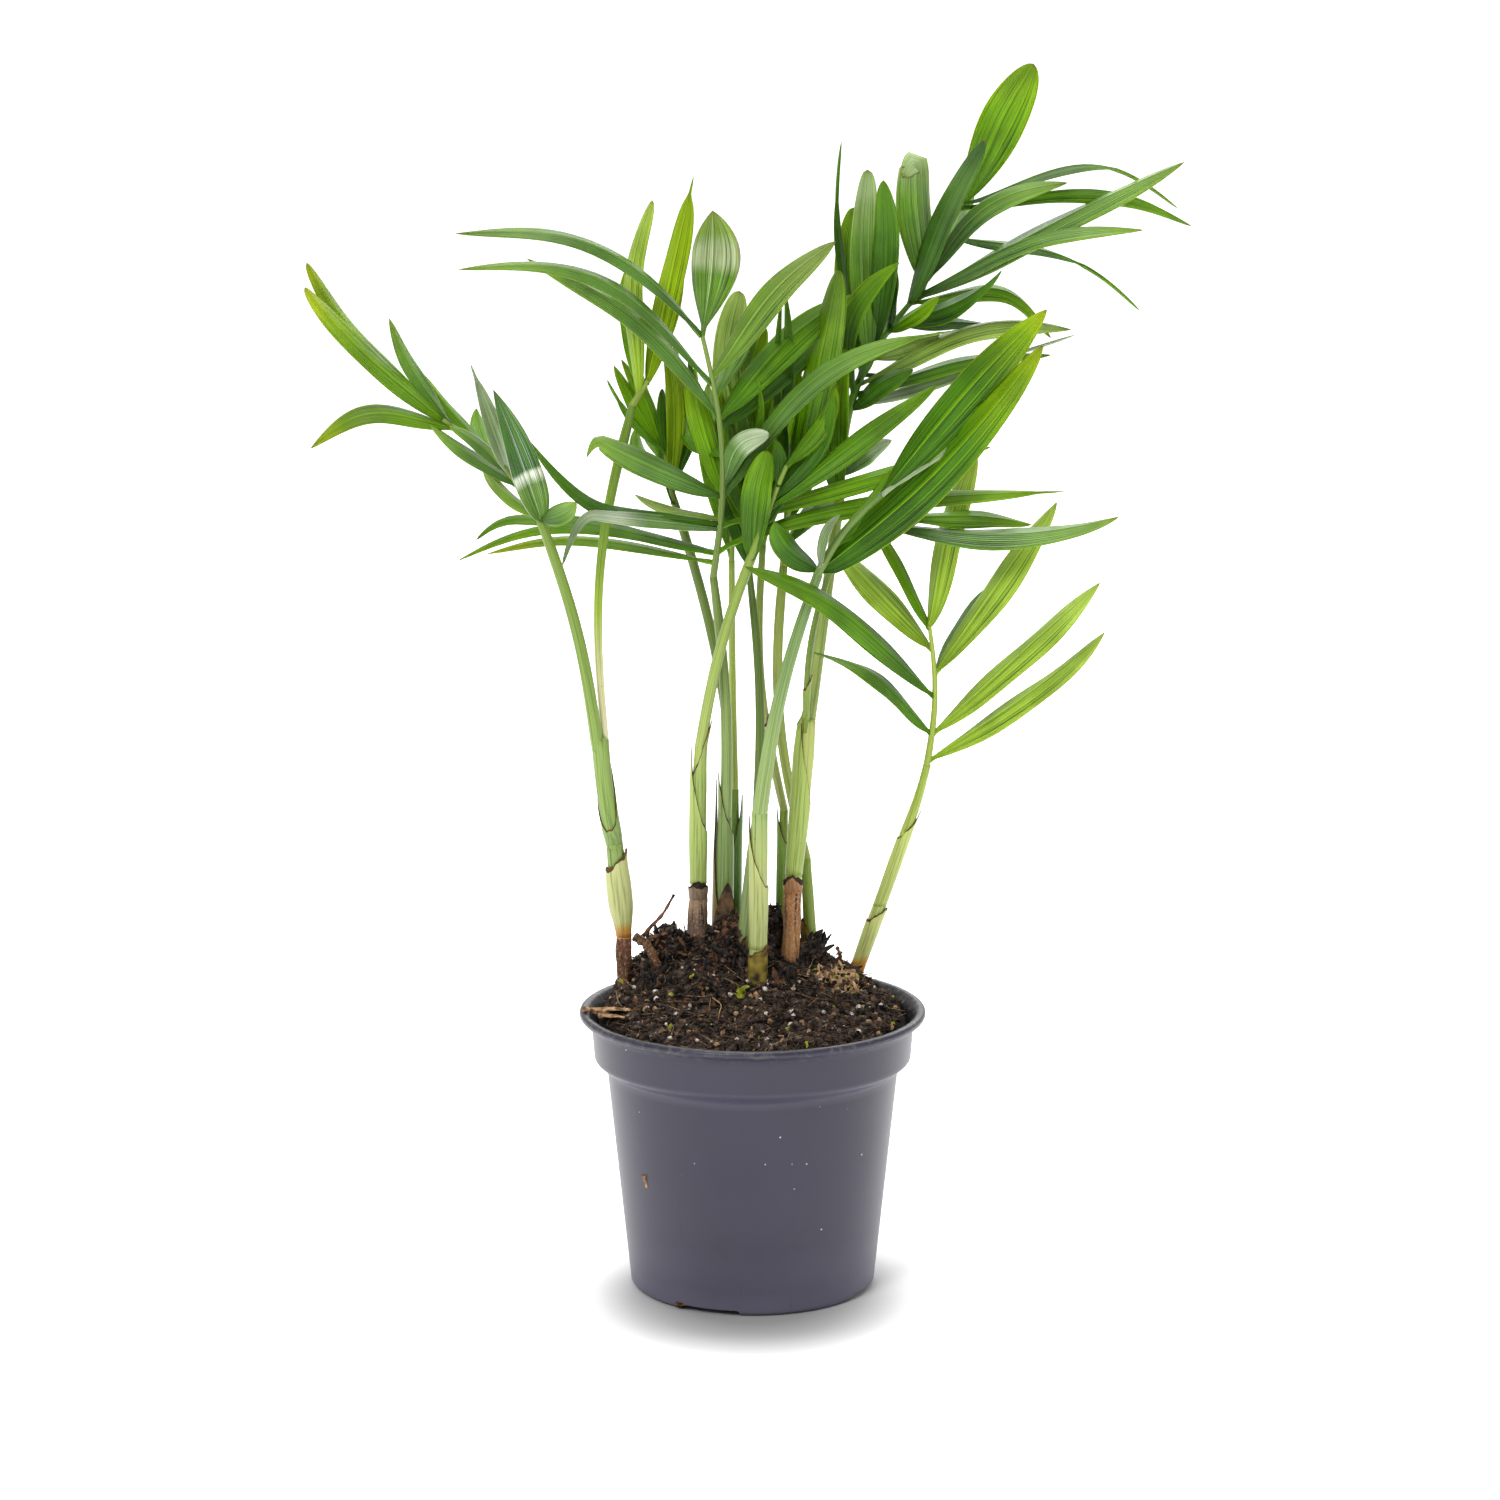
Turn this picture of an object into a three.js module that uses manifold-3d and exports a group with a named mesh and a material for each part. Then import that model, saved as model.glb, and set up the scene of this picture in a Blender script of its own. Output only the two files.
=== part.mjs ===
// A parlour palm in its nursery pot, as an assembly of separate solids.
//
// Millimetres, +Z up, +X to the right, +Y to the back. The origin is the centre of the
// pot's flat underside. Canes stand in the soil, a petiole stands on each cane's tip, and
// each petiole carries a frond: a rib with leaflets. Neighbouring pieces keep GAP apart.

import * as THREE from 'three';
import { mergeVertices } from 'three/addons/utils/BufferGeometryUtils.js';
import Module from 'manifold-3d';

const wasm = await Module();
wasm.setup();

// ---- Driving dimensions -------------------------------------------------------------

const GAP = 0.3; // clearance between pieces that meet

const POT = {
  footRadius: 42.7,
  footRound: 1.2,
  shoulderRadius: 50.8, // where the tapering body meets the step
  shoulderHeight: 77,
  collarRadius: 55.3, // just above the step
  collarHeight: 81.8,
  flare: 1, // how far the collar opens out on its way to the lip
  lipRadius: 60.4,
  lipHeight: 98.5,
  lipThick: 2.9,
  wall: 1.5,
  floor: 3.6,
  sides: 40,
};

const NOTCH = { count: 4, firstAngle: -26, width: 26, height: 1.8, depth: 5 };

const SOIL = {
  rimLevel: 93.5, // where the soil meets the pot's wall
  plateau: 3,
  mound: 22,
  moundCentre: [-12, 28],
  moundSpread: [50, 32],
  bump: 0.8,
  rings: 6,
  sides: 32,
};

// A limb grows from its foot, or on the tip of the limb that `on` names, moved aside by
// `aside` [x, y]. `reach` is how far it goes [across, away, up], `bow` is how far its
// middle bows to the left of its way, seen from the front, and `thick` is its diameter
// at foot and tip.
const LIMBS = {
  stilt_root: { foot: [-44, 10, 93], reach: [-1, 0, 27.7], bow: 0.6, thick: [3.8, 5.4], skin: 'root' },
  cane_left: { on: 'stilt_root', reach: [-3, -0.5, 32.5], bow: 0, thick: [8.8, 7], skin: 'sheath' },
  sheath_left: { on: 'cane_left', reach: [-4.9, -1, 38], bow: 0.7, thick: [6, 6], skin: 'cane' },
  petiole_left: {
    on: 'sheath_left', aside: [-1.2, -0.7], reach: [-18.2, -6, 77.2], bow: -2.6, thick: [4.4, 3.6],
    skin: 'petiole',
  },
  petiole_upright: {
    on: 'sheath_left', aside: [1.7, 1.9], reach: [9.9, 10, 114.5], bow: 6.5, thick: [2.6, 3.6],
    skin: 'petiole',
  },

  cane_centre: { foot: [-10.5, 30, 101], reach: [1, -1, 59], bow: 0, thick: [7, 5], skin: 'cane' },
  petiole_centre: { on: 'cane_centre', reach: [-4.1, -10, 87], bow: -2, thick: [4.2, 3.2], skin: 'petiole' },

  foot_near: { foot: [-19.5, 25, 101], reach: [0.3, 1, 35], bow: 0, thick: [7.6, 7], skin: 'husk' },
  cane_near: { on: 'foot_near', reach: [0.9, -3, 50], bow: 0.3, thick: [5.9, 4.8], skin: 'cane' },
  petiole_near: { on: 'cane_near', reach: [20.9, -17, 77], bow: 2.6, thick: [4, 3.4], skin: 'petiole' },

  petiole_rear: {
    foot: [-12, 46, 93], reach: [-16.5, -8, 182], bow: -12, thick: [3.2, 2.2], skin: 'petiole',
  },

  cane_pale: { foot: [-6.4, 39, 98], reach: [0.2, 0, 70], bow: 0, thick: [3.4, 3], skin: 'cane' },
  petiole_pale: { on: 'cane_pale', reach: [-1.1, -2.5, 82], bow: 0.3, thick: [2.6, 2.4], skin: 'petiole' },

  cane_slim: { foot: [-4.3, 17, 100], reach: [5.9, 0.5, 62], bow: 0, thick: [7, 4.4], skin: 'cane' },
  petiole_slim: { on: 'cane_slim', reach: [-2.8, 4.5, 86.5], bow: -2.2, thick: [3.6, 2.6], skin: 'petiole' },

  cane_deep: { foot: [1.6, 3, 97], reach: [0.9, 0, 70], bow: 0, thick: [6.4, 6], skin: 'cane' },
  petiole_deep: { on: 'cane_deep', reach: [19.8, -9, 85], bow: 2.7, thick: [5.6, 3.6], skin: 'petiole' },

  cane_spear: { foot: [9.8, 35, 98], reach: [1.3, -1, 63.5], bow: 0, thick: [3.8, 3.2], skin: 'cane' },
  petiole_spear: { on: 'cane_spear', reach: [-7.5, -4, 95], bow: 4.4, thick: [2.9, 2.6], skin: 'petiole' },

  cane_broad: { foot: [21.5, 30, 97], reach: [-2.6, 0, 48], bow: 0, thick: [5.4, 3.8], skin: 'cane' },
  petiole_broad: { on: 'cane_broad', reach: [-8.1, -2, 104.5], bow: 5.5, thick: [3.4, 3.6], skin: 'petiole' },

  foot_tall: { foot: [13, 18, 100], reach: [1.3, 0, 40], bow: 0, thick: [6.4, 6], skin: 'husk' },
  cane_tall: { on: 'foot_tall', reach: [5, 2, 56], bow: 0, thick: [5.9, 7.2], skin: 'cane' },
  petiole_tall: {
    on: 'cane_tall', aside: [0.6, 1.5], reach: [10.4, 14.4, 75], bow: 0, thick: [4, 2.8],
    skin: 'petiole',
  },
  petiole_side: {
    on: 'cane_tall', aside: [-0.6, -2.2], reach: [9.2, -9.8, 58.4], bow: 3, thick: [2.2, 2],
    skin: 'petiole',
  },

  cane_right: { foot: [32.5, 33.5, 90], reach: [21.5, -6.5, 65], bow: 0, thick: [5.6, 4.2], skin: 'cane' },
  petiole_right: { on: 'cane_right', reach: [7, -8, 25.7], bow: -0.5, thick: [3.8, 2.7], skin: 'petiole' },
};

// A frond is a rib, given as a limb is, with its leaflets. A leaflet's row holds:
//   at     where it leaves the rib, from 0 at the foot to 1 at the tip
//   across, away, up   how far it reaches from there
//   wide   its greatest width
//   bow    how far its middle bows to the left of its way, seen from the front
//   turn   how far the blade is turned edge-on to the front, in degrees
//   twist  how much further it turns on its way to the tip
const FRONDS = {
  frond_left: {
    on: 'petiole_left', reach: [-32.8, -6, 35.2], bow: -3.8, thick: [3, 1.5], leaflets: [
      [1.0, -44, -4, 54, 11, 5, 66, 0],
      [1.0, -44, -12, 46, 12, 4.5, 62, 0],
      [1.0, -43, -20, -7, 12, -7, 62, 20],
      [0.93, -21, 8, 37, 10, 0, 60, 0],
      [0.7, -18, 12, 22, 9, 0, 62, 0],
      [0.55, -7, -10, 33, 10, 1, 46, 0],
      [0.05, -15, -14, 45, 14, -2, 42, 0],
      [0.02, 7, -22, -2, 11, 7, 40, 0],
      [0.12, 38, 0, -5, 12, 6, 52, 20],
      [0.3, -16, 34, 22, 11, 2, 50, 0],
    ],
  },
  frond_upright: {
    on: 'petiole_upright', reach: [5, 2, 8], bow: 0, thick: [2.6, 1.8], leaflets: [
      [0.4, 5, 6, 66, 11, 6, 46, 0],
      [1.0, 14.5, 10, 66, 12, -4.5, 40, 0],
      [0.9, 7, 18, 39, 8, 0, 50, 0],
      [0.6, -3, 34, 44, 11, 2, 50, 0],
    ],
  },
  frond_centre: {
    on: 'petiole_centre', reach: [-3.5, -11, 84.5], bow: -5, thick: [3, 1.5], leaflets: [
      [1.0, -83, -10, 36, 12, -18, 64, 10],
      [1.0, 4, 6, 42, 17, 0, 15, 0],
      [0.66, -66, -6, 55, 13, -8, 61, 0],
      [0.83, -85, -16, 38, 13, -17, 61, 0],
      [0.83, 42, -4, 46, 13, 9.5, 50, 0],
      [0.66, 44, -12, 48, 14, 4.5, 46, 0],
      [0.6, 19, -4, 9, 10, 1, 52, 0],
      [0.33, -46, -18, 17, 14, -10.5, 48, 20],
      [0.33, 74, -14, 59, 15, 13, 42, 10],
      [0.37, 12, -28, 22, 14, 2, 15, 0],
      [0.2, -57, -11, 2, 12, -4, 60, 20],
      [0.1, -84, 18, 3, 11, -6, 66, 0],
      [0.1, -91, 28, -7, 11, -8, 64, 0],
      [0.05, -77, 38, -2, 10, -6, 68, 0],
      [0.25, -30, 7, 6, 9, -1, 52, 0],
      [0.2, 9, -8, 12, 8, 2, 70, 0],
      [0.14, 7, -14, 9, 7, 2, 66, 0],
    ],
  },
  frond_near: {
    on: 'petiole_near', reach: [9, -4, 24.5], bow: 0.5, thick: [2.8, 1.6], leaflets: [
      [0.1, 5.5, -6, 32, 12, 1, 28, 0],
      [0.38, 59, -8, 46, 13, 2.5, 50, 0],
      [1.0, 25, 8, 28, 12, 1.5, 50, 0],
      [0.48, 73, -16, 20, 11, 2, 58, 40],
      [0.12, 102, -24, 16, 11, 3, 62, -40],
      [0.7, -5, -1, 32, 10, 2, 40, 0],
    ],
  },
  frond_rear: {
    on: 'petiole_rear', reach: [-2.5, 2, 13], bow: 0, thick: [2.1, 1.5], leaflets: [
      [1.0, -17, 4, 29, 10, 1, 42, 0],
      [0.9, -20, 12, 26, 7, 0, 56, 0],
      [0.3, -2, -4, 46, 10, 2, 42, 0],
      [0.02, 5, 0, 42, 9, 1, 62, 0],
      [0.6, -9, 38, 28, 11, 1, 50, 0],
      [0.4, 9, 32, 34, 11, 1, 50, 0],
    ],
  },
  frond_pale: {
    on: 'petiole_pale', reach: [0.8, 1, 40], bow: 0, thick: [2.1, 1.4], leaflets: [
      [1.0, 2, 6, 53, 10, 1, 42, 0],
      [0.9, -15, 5, 43, 9, 1, 46, 0],
      [0.7, -2, -4, 34, 8, 0, 50, 0],
      [0.02, -13, 3, 58, 10, 2, 42, 0],
      [0.5, 6, 36, 40, 11, 1, 50, 0],
    ],
  },
  frond_slim: {
    on: 'petiole_slim', reach: [1.2, 2, 36], bow: 0, thick: [2.2, 1.4], leaflets: [
      [1.0, 4, 5, 46, 9, 0, 46, 0],
      [0.8, 3, -4, 38, 8, 0, 50, 0],
      [0.4, -8, 2, 40, 9, 2, 44, 0],
      [0.6, 9, 1, 36, 9, 1, 44, 0],
    ],
  },
  frond_spear: {
    on: 'petiole_spear', reach: [5.4, 5, 24], bow: 0, thick: [2.2, 1.6], leaflets: [
      [1.0, 2, 3, 63, 9, 1, 48, 0],
      [0.95, 4, 5, 58, 9, -1, -48, 0],
      [0.3, -5, 4, 40, 9, 1, 48, 0],
    ],
  },
  frond_broad: {
    on: 'petiole_broad', reach: [2.4, 2, 36], bow: 0, thick: [2.8, 1.8], leaflets: [
      [1.0, 16, -6, 67, 15, 2, 22, 0],
      [0.4, 16, 28, 34, 11, 1, 50, 0],
    ],
  },
  frond_tall: {
    on: 'petiole_tall', reach: [29.6, 16, 72.6], bow: 9, thick: [2.8, 1.6], leaflets: [
      [0.7, -16, 6, 54, 11, 2, 46, 0],
      [0.72, -10, 12, 46, 10, 2, 50, 0],
      [0.75, -7, -4, 57, 13, 1, 32, 0],
      [0.8, -3, -15, 51, 14, -5.5, 26, 0],
      [0.6, 9, -16, 37, 11, 9, 50, 0],
      [0.78, 2, -8, 21, 8, 0, 50, 0],
      [0.96, 78, -6, 23, 11, 8, 65, 0],
      [0.93, 94, 0, 48, 13, 1.5, 58, 0],
      [0.8, 37, -14, 20, 12, -3, 35, 50],
      [0.76, 17, -22, 14, 8, 0, 50, 0],
      [0.8, 34, 8, -1, 8, 1, 60, 0],
      [0.92, 50, 13, -14, 10, 12, 58, 0],
      [0.62, 25, 6, 9, 9, 0, 56, 0],
      [0.5, 75, 10, 18, 12, 9, 58, 0],
      [0.38, 22, -8, 15, 10, 2, 46, 0],
      [0.5, 8, -14, 17, 6, 0, 50, 0],
      [0.55, 23, 16, -4, 7, 0, 60, 0],
      [0.45, 70, 18, 12, 9, 4, 62, 0],
      [0.4, 80, 27, 22, 9, 0, 62, 0],
      [0.1, 18, 4, 12, 9, 2, 36, 0],
      [0.6, 8, 44, 22, 12, 2, 50, 0],
      [0.3, -6, 36, 24, 11, 2, 50, 0],
    ],
  },
  frond_top: {
    on: 'frond_tall', reach: [13.8, 3, 28.8], bow: 1, thick: [1.7, 1.2], leaflets: [
      [1.0, 24, 4, 48, 17, 1, 15, 0],
      [0.08, 20, -13, 50, 14, 6.5, 38, 0],
      [0.08, -5, -6, 45, 14, -2, 22, 0],
      [1.0, 75, -4, -2, 9, 14.5, 74, 0],
      [0.95, 81, 4, -7, 11, 9.5, 66, 0],
      [0.08, 50, -12, 34, 14, 14, 44, 0],
      [0.6, 70, 10, -28, 8, 8, 68, 0],
      [0.4, 14, 38, 20, 12, 2, 50, 0],
    ],
  },
  frond_deep: {
    on: 'petiole_deep', reach: [21, -8, 28], bow: 2, thick: [3.2, 2], leaflets: [
      [1.0, 56, -10, 64, 15, 4, 26, 0],
      [0.02, 74, -19, 80, 15, -5, 38, 0],
      [0.05, 2, -8, 18, 9, 5, 50, 0],
    ],
  },
  frond_side: {
    on: 'petiole_side', reach: [22.4, -6, 16], bow: 1.5, thick: [2.1, 1.5], leaflets: [
      [0.25, 26, -4, 11, 9, 0, 72, 0],
      [0.7, 82, -6, 4, 12, -4.5, 58, 0],
      [0.95, 47, 10, -4, 10, 2, 60, 0],
      [0.6, 30, 22, 24, 12, 3, 50, 0],
    ],
  },
  frond_right: {
    on: 'petiole_right', reach: [0, -10, 50.5], bow: -2.3, thick: [2.6, 1.4], leaflets: [
      [0.02, 60.5, -8, 47, 12, -2, 58, 0],
      [0.22, 57.5, -4, 54, 13, 0, 55, 0],
      [0.66, 42, 6, 59, 13, 0, 44, 0],
      [1.0, 15, 8, 57, 13, 4.5, 38, 0],
      [0.98, -21, 10, 36, 8, 0, 60, 0],
      [0.83, -34, 10, 33, 13, -3, 44, 0],
      [0.49, -66, -40, 52, 12, -6.5, 54, 0],
      [0.22, -42, -24, 33, 11, -5.5, 56, 30],
      [0.5, 22, 34, 26, 12, 2, 50, 0],
    ],
  },
};

const HUSK = { foot: [-12, 22, 102], reach: [3.4, 0, 36], wide: 8, thick: 1.6, bow: 0, turn: 0, twist: 0 };

// A leaflet is widest nearer its foot and runs out to a point.
const BLADE = {
  swell: 0.6,
  taper: 0.85,
  footWidth: 1.6,
  tipWidth: 0.7,
  leastThick: 1.05,
  slender: 80, // length over thickness at the foot
  thinning: 0.35,
  steps: 6,
};
const LIMB = { sides: 6, steps: 7 };
const LATE = 1.25; // a leaflet's bow is deepest past its middle

// A leaflet that meets another piece swings fore or aft, further each time, until it clears.
const SWING = { step: 1.5, most: 12 };
const CLEAR = 0.8; // added to a leaflet's width and thickness while it looks for room

const COLOURS = {
  pot: 0x55535f,
  soil: 0x2a1f18,
  root: 0x5a3a22,
  husk: 0x6b4d36,
  sheath: 0xc9cf95,
  cane: 0x9bbb5c,
  petiole: 0x7fa64a,
  frond: 0x4f8f2c,
};

// ---- Solids ---------------------------------------------------------------------------

const FRONT_TO_BACK = new THREE.Vector3(0, 1, 0);
const LEVEL = { side: new THREE.Vector3(1, 0, 0), through: FRONT_TO_BACK };

function toSolid(geometry) {
  const bare = geometry.clone();
  bare.deleteAttribute('normal');
  bare.deleteAttribute('uv');
  const merged = mergeVertices(bare, 1e-4);
  return new wasm.Manifold(new wasm.Mesh({
    numProp: 3,
    vertProperties: new Float32Array(merged.attributes.position.array),
    triVerts: new Uint32Array(merged.index.array),
  }));
}

function toGeometry(solid) {
  const { vertProperties, triVerts } = solid.getMesh();
  const geometry = new THREE.BufferGeometry();
  geometry.setAttribute('position', new THREE.BufferAttribute(vertProperties, 3));
  geometry.setIndex(new THREE.BufferAttribute(triVerts, 1));
  geometry.computeVertexNormals();
  return geometry;
}

// Skins a row of rings, each wound left-handed up the row, and closes both ends.
function loft(rings) {
  const sides = rings[0].length;
  const points = rings.flat();
  const faces = [];
  for (let ring = 0; ring + 1 < rings.length; ring += 1) {
    for (let side = 0; side < sides; side += 1) {
      const a = ring * sides + side;
      const b = ring * sides + (side + 1) % sides;
      faces.push(a, b, b + sides, a, b + sides, a + sides);
    }
  }
  const last = (rings.length - 1) * sides;
  for (let side = 1; side + 1 < sides; side += 1) {
    faces.push(0, side + 1, side);
    faces.push(last, last + side, last + side + 1);
  }
  const geometry = new THREE.BufferGeometry();
  geometry.setAttribute('position', new THREE.Float32BufferAttribute(points.flatMap((p) => p.toArray()), 3));
  geometry.setIndex(faces);
  return geometry;
}

// The midline of a limb or leaflet, and the directions across it and through it.
function midline(piece, s, late = 1) {
  const [across, away, up] = piece.reach;
  const length = Math.hypot(across, up);
  const swell = piece.bow * Math.sin(Math.PI * s ** late);
  return new THREE.Vector3(
    piece.foot[0] + across * s - (up / length) * swell,
    piece.foot[1] + away * s,
    piece.foot[2] + up * s + (across / length) * swell,
  );
}

function frameAt(piece, s, late = 1) {
  const step = 0.02;
  const ahead = midline(piece, Math.min(s + step, 1), late);
  const behind = midline(piece, Math.max(s - step, 0), late);
  const way = ahead.sub(behind).normalize();
  const side = new THREE.Vector3().crossVectors(FRONT_TO_BACK, way).normalize();
  const through = new THREE.Vector3().crossVectors(way, side);
  return { side, through };
}

function ringPoint(centre, side, through, a, b) {
  return centre.clone().addScaledVector(side, a).addScaledVector(through, b);
}

// A tapering limb, cut level at both ends so that it seats squarely on the next.
function limbSolid(limb, extra = 0) {
  const rings = [];
  for (let step = 0; step <= LIMB.steps; step += 1) {
    const s = step / LIMB.steps;
    const centre = midline(limb, s);
    const isEnd = step === 0 || step === LIMB.steps;
    const { side, through } = isEnd ? LEVEL : frameAt(limb, s);
    const radius = THREE.MathUtils.lerp(limb.thick[0], limb.thick[1], s) / 2 + extra;
    const ring = [];
    for (let k = 0; k < LIMB.sides; k += 1) {
      const angle = (2 * Math.PI * k) / LIMB.sides;
      ring.push(ringPoint(centre, side, through, radius * Math.cos(angle), radius * Math.sin(angle)));
    }
    rings.push(ring);
  }
  return toSolid(loft(rings));
}

function bladeWidth(s) {
  const widest = BLADE.swell / (BLADE.swell + BLADE.taper);
  return (s / widest) ** BLADE.swell * ((1 - s) / (1 - widest)) ** BLADE.taper;
}

function bladeSolid(leaf, extra = 0) {
  const rings = [];
  for (let step = 0; step <= BLADE.steps; step += 1) {
    const s = step / BLADE.steps;
    const centre = midline(leaf, s, LATE);
    const { side, through } = frameAt(leaf, s, LATE);
    const turn = THREE.MathUtils.degToRad(leaf.turn + leaf.twist * s);
    const blade = side.clone().multiplyScalar(Math.cos(turn)).addScaledVector(through, Math.sin(turn));
    const out = through.clone().multiplyScalar(Math.cos(turn)).addScaledVector(side, -Math.sin(turn));
    const least = THREE.MathUtils.lerp(BLADE.footWidth, BLADE.tipWidth, s);
    const half = Math.max(leaf.wide * bladeWidth(s), least) / 2 + extra / 2;
    const thick = (leaf.thick * (1 - BLADE.thinning * s)) / 2 + extra / 2;
    rings.push([
      ringPoint(centre, blade, out, half, 0),
      ringPoint(centre, blade, out, 0, thick),
      ringPoint(centre, blade, out, -half, 0),
      ringPoint(centre, blade, out, 0, -thick),
    ]);
  }
  return toSolid(loft(rings));
}

// ---- Growing --------------------------------------------------------------------------

const grown = []; // every piece so far: { name, solid, box }

function boxOf(solid) {
  const { min, max } = solid.boundingBox();
  return new THREE.Box3(new THREE.Vector3(...min), new THREE.Vector3(...max));
}

function remember(name, solid) {
  grown.push({ name, solid, box: boxOf(solid) });
}

function isClear(solid, owner) {
  const box = boxOf(solid);
  return grown.every((piece) => (
    piece.name === owner || !piece.box.intersectsBox(box) || piece.solid.intersect(solid).isEmpty()
  ));
}

// Puts a limb or rib on the tip of the limb that carries it, GAP clear.
function placed(limb, carriers) {
  if (!limb.on) return limb;
  const carrier = carriers[limb.on];
  const [dx, dy] = limb.aside ?? [0, 0];
  const tip = midline(carrier, 1);
  return { ...limb, foot: [tip.x + dx, tip.y + dy, tip.z + GAP] };
}

function leafletOf(rib, row) {
  const [at, across, away, up, wide, bow, turn, twist] = row;
  const foot = midline(rib, at).toArray();
  const thick = Math.max(BLADE.leastThick, Math.hypot(across, away, up) / BLADE.slender);
  return { foot, reach: [across, away, up], wide, thick, bow, turn, twist };
}

// Tries the leaflet as given, then swung aft and fore by more and more.
function clearLeaflet(leaf, owner) {
  const [across, away, up] = leaf.reach;
  for (let swing = 0; swing <= SWING.most; swing += SWING.step) {
    for (const aside of swing ? [swing, -swing] : [0]) {
      const swung = { ...leaf, reach: [across, away + aside, up] };
      if (isClear(bladeSolid(swung, CLEAR), owner)) return swung;
    }
  }
  return null;
}

function growFrond(name, rib) {
  let frond = limbSolid(rib);
  for (const row of rib.leaflets) {
    const leaf = clearLeaflet(leafletOf(rib, row), name);
    if (leaf) {
      const blade = bladeSolid(leaf);
      remember(name, blade);
      frond = frond.add(blade);
    }
  }
  return frond;
}

// ---- Pot and soil ---------------------------------------------------------------------

// The outer wall's radius at a height, on the tapering body below the step.
function bodyRadius(z) {
  return THREE.MathUtils.lerp(POT.footRadius, POT.shoulderRadius, z / POT.shoulderHeight);
}

function potGeometry() {
  const { wall, floor, shoulderRadius, shoulderHeight, collarRadius, collarHeight } = POT;
  const { flare, lipRadius, lipHeight, lipThick } = POT;
  const stepRise = collarHeight - shoulderHeight;
  const stepOut = collarRadius - shoulderRadius;
  const underLip = lipHeight - lipThick;
  const outside = [
    [0, 0],
    [bodyRadius(0) - POT.footRound, 0],
    [bodyRadius(POT.footRound), POT.footRound],
    [shoulderRadius, shoulderHeight],
    [shoulderRadius + stepOut * 0.1, shoulderHeight + stepRise * 0.22],
    [shoulderRadius + stepOut * 0.62, shoulderHeight + stepRise * 0.6],
    [shoulderRadius + stepOut * 0.93, shoulderHeight + stepRise * 0.84],
    [collarRadius, collarHeight],
    [collarRadius + flare, underLip - 0.6],
    [lipRadius - 1.2, underLip],
    [lipRadius - 0.2, underLip + 0.7],
    [lipRadius, lipHeight - 1.5],
    [lipRadius - 0.6, lipHeight - 0.6],
    [lipRadius - 2, lipHeight],
  ];
  const inside = [
    [collarRadius + flare + 0.7, lipHeight - 0.3],
    [collarRadius + flare - wall, lipHeight - 2],
    [collarRadius - wall, collarHeight],
    [shoulderRadius - wall, shoulderHeight + 1],
    [bodyRadius(floor) - wall, floor],
    [0, floor],
  ];
  const profile = [...outside, ...inside].map(([r, z]) => new THREE.Vector2(r, z));
  const lathe = new THREE.LatheGeometry(profile, POT.sides);
  lathe.rotateX(Math.PI / 2);
  return lathe;
}

// Low notches under the foot let water out; the middle of the underside stays whole.
function notchGeometry(degrees) {
  const notch = new THREE.BoxGeometry(NOTCH.width, 2 * NOTCH.depth, 2 * NOTCH.height);
  notch.translate(0, -POT.footRadius, 0);
  notch.rotateZ(THREE.MathUtils.degToRad(degrees));
  return notch;
}

function makePot() {
  let pot = toSolid(potGeometry());
  for (let k = 0; k < NOTCH.count; k += 1) {
    pot = pot.subtract(toSolid(notchGeometry(NOTCH.firstAngle + (360 * k) / NOTCH.count)));
  }
  return pot;
}

function soilRadius(z) {
  const { shoulderRadius, shoulderHeight, collarRadius, wall } = POT;
  const upward = (z - shoulderHeight) / (SOIL.rimLevel - shoulderHeight);
  const outer = upward < 0 ? bodyRadius(z) : THREE.MathUtils.lerp(shoulderRadius, collarRadius, upward);
  return outer - wall - 2 * GAP;
}

function soilTop(x, y) {
  const edge = 1 - (Math.hypot(x, y) / soilRadius(SOIL.rimLevel)) ** 8;
  const [cx, cy] = SOIL.moundCentre;
  const [wide, deep] = SOIL.moundSpread;
  const mound = SOIL.mound * Math.exp(-(((x - cx) / wide) ** 2) - ((y - cy) / deep) ** 2);
  const bumps = SOIL.bump * (Math.sin(0.31 * x + 1) * Math.sin(0.27 * y + 2) + Math.sin(0.5 * x - 0.37 * y));
  return SOIL.rimLevel + Math.max(edge, 0) * (SOIL.plateau + mound + bumps);
}

// A socket in the soil is its piece, GAP lower and GAP larger all round.
function lowered({ foot: [x, y, z], ...piece }) {
  return { ...piece, foot: [x, y, z - GAP] };
}

function makeSoil() {
  const circle = (radius, height) => Array.from({ length: SOIL.sides }, (_, k) => {
    const angle = (2 * Math.PI * k) / SOIL.sides;
    const x = radius * Math.cos(angle);
    const y = radius * Math.sin(angle);
    return new THREE.Vector3(x, y, height ?? soilTop(x, y));
  });
  const bottom = POT.floor + GAP;
  const rings = [bottom, POT.shoulderHeight, SOIL.rimLevel].map((z) => circle(soilRadius(z), z));
  for (let ring = SOIL.rings - 1; ring > 0; ring -= 1) {
    rings.push(circle((soilRadius(SOIL.rimLevel) * ring) / SOIL.rings));
  }
  let soil = toSolid(loft(rings));
  for (const limb of Object.values(limbs)) {
    if (!limb.on) soil = soil.subtract(limbSolid(lowered(limb), GAP));
  }
  return soil.subtract(bladeSolid(lowered(HUSK), 2 * GAP));
}

// ---- Assembly -------------------------------------------------------------------------

const palm = new THREE.Group();

function addPiece(name, solid, skin, roughness = 0.6) {
  const material = new THREE.MeshStandardMaterial({ color: COLOURS[skin], roughness, metalness: 0 });
  const mesh = new THREE.Mesh(toGeometry(solid), material);
  mesh.name = name;
  palm.add(mesh);
}

const limbs = {};
for (const [name, limb] of Object.entries(LIMBS)) {
  limbs[name] = placed(limb, limbs);
}
const ribs = {};
for (const [name, frond] of Object.entries(FRONDS)) {
  ribs[name] = placed(frond, { ...limbs, ...ribs });
}

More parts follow.
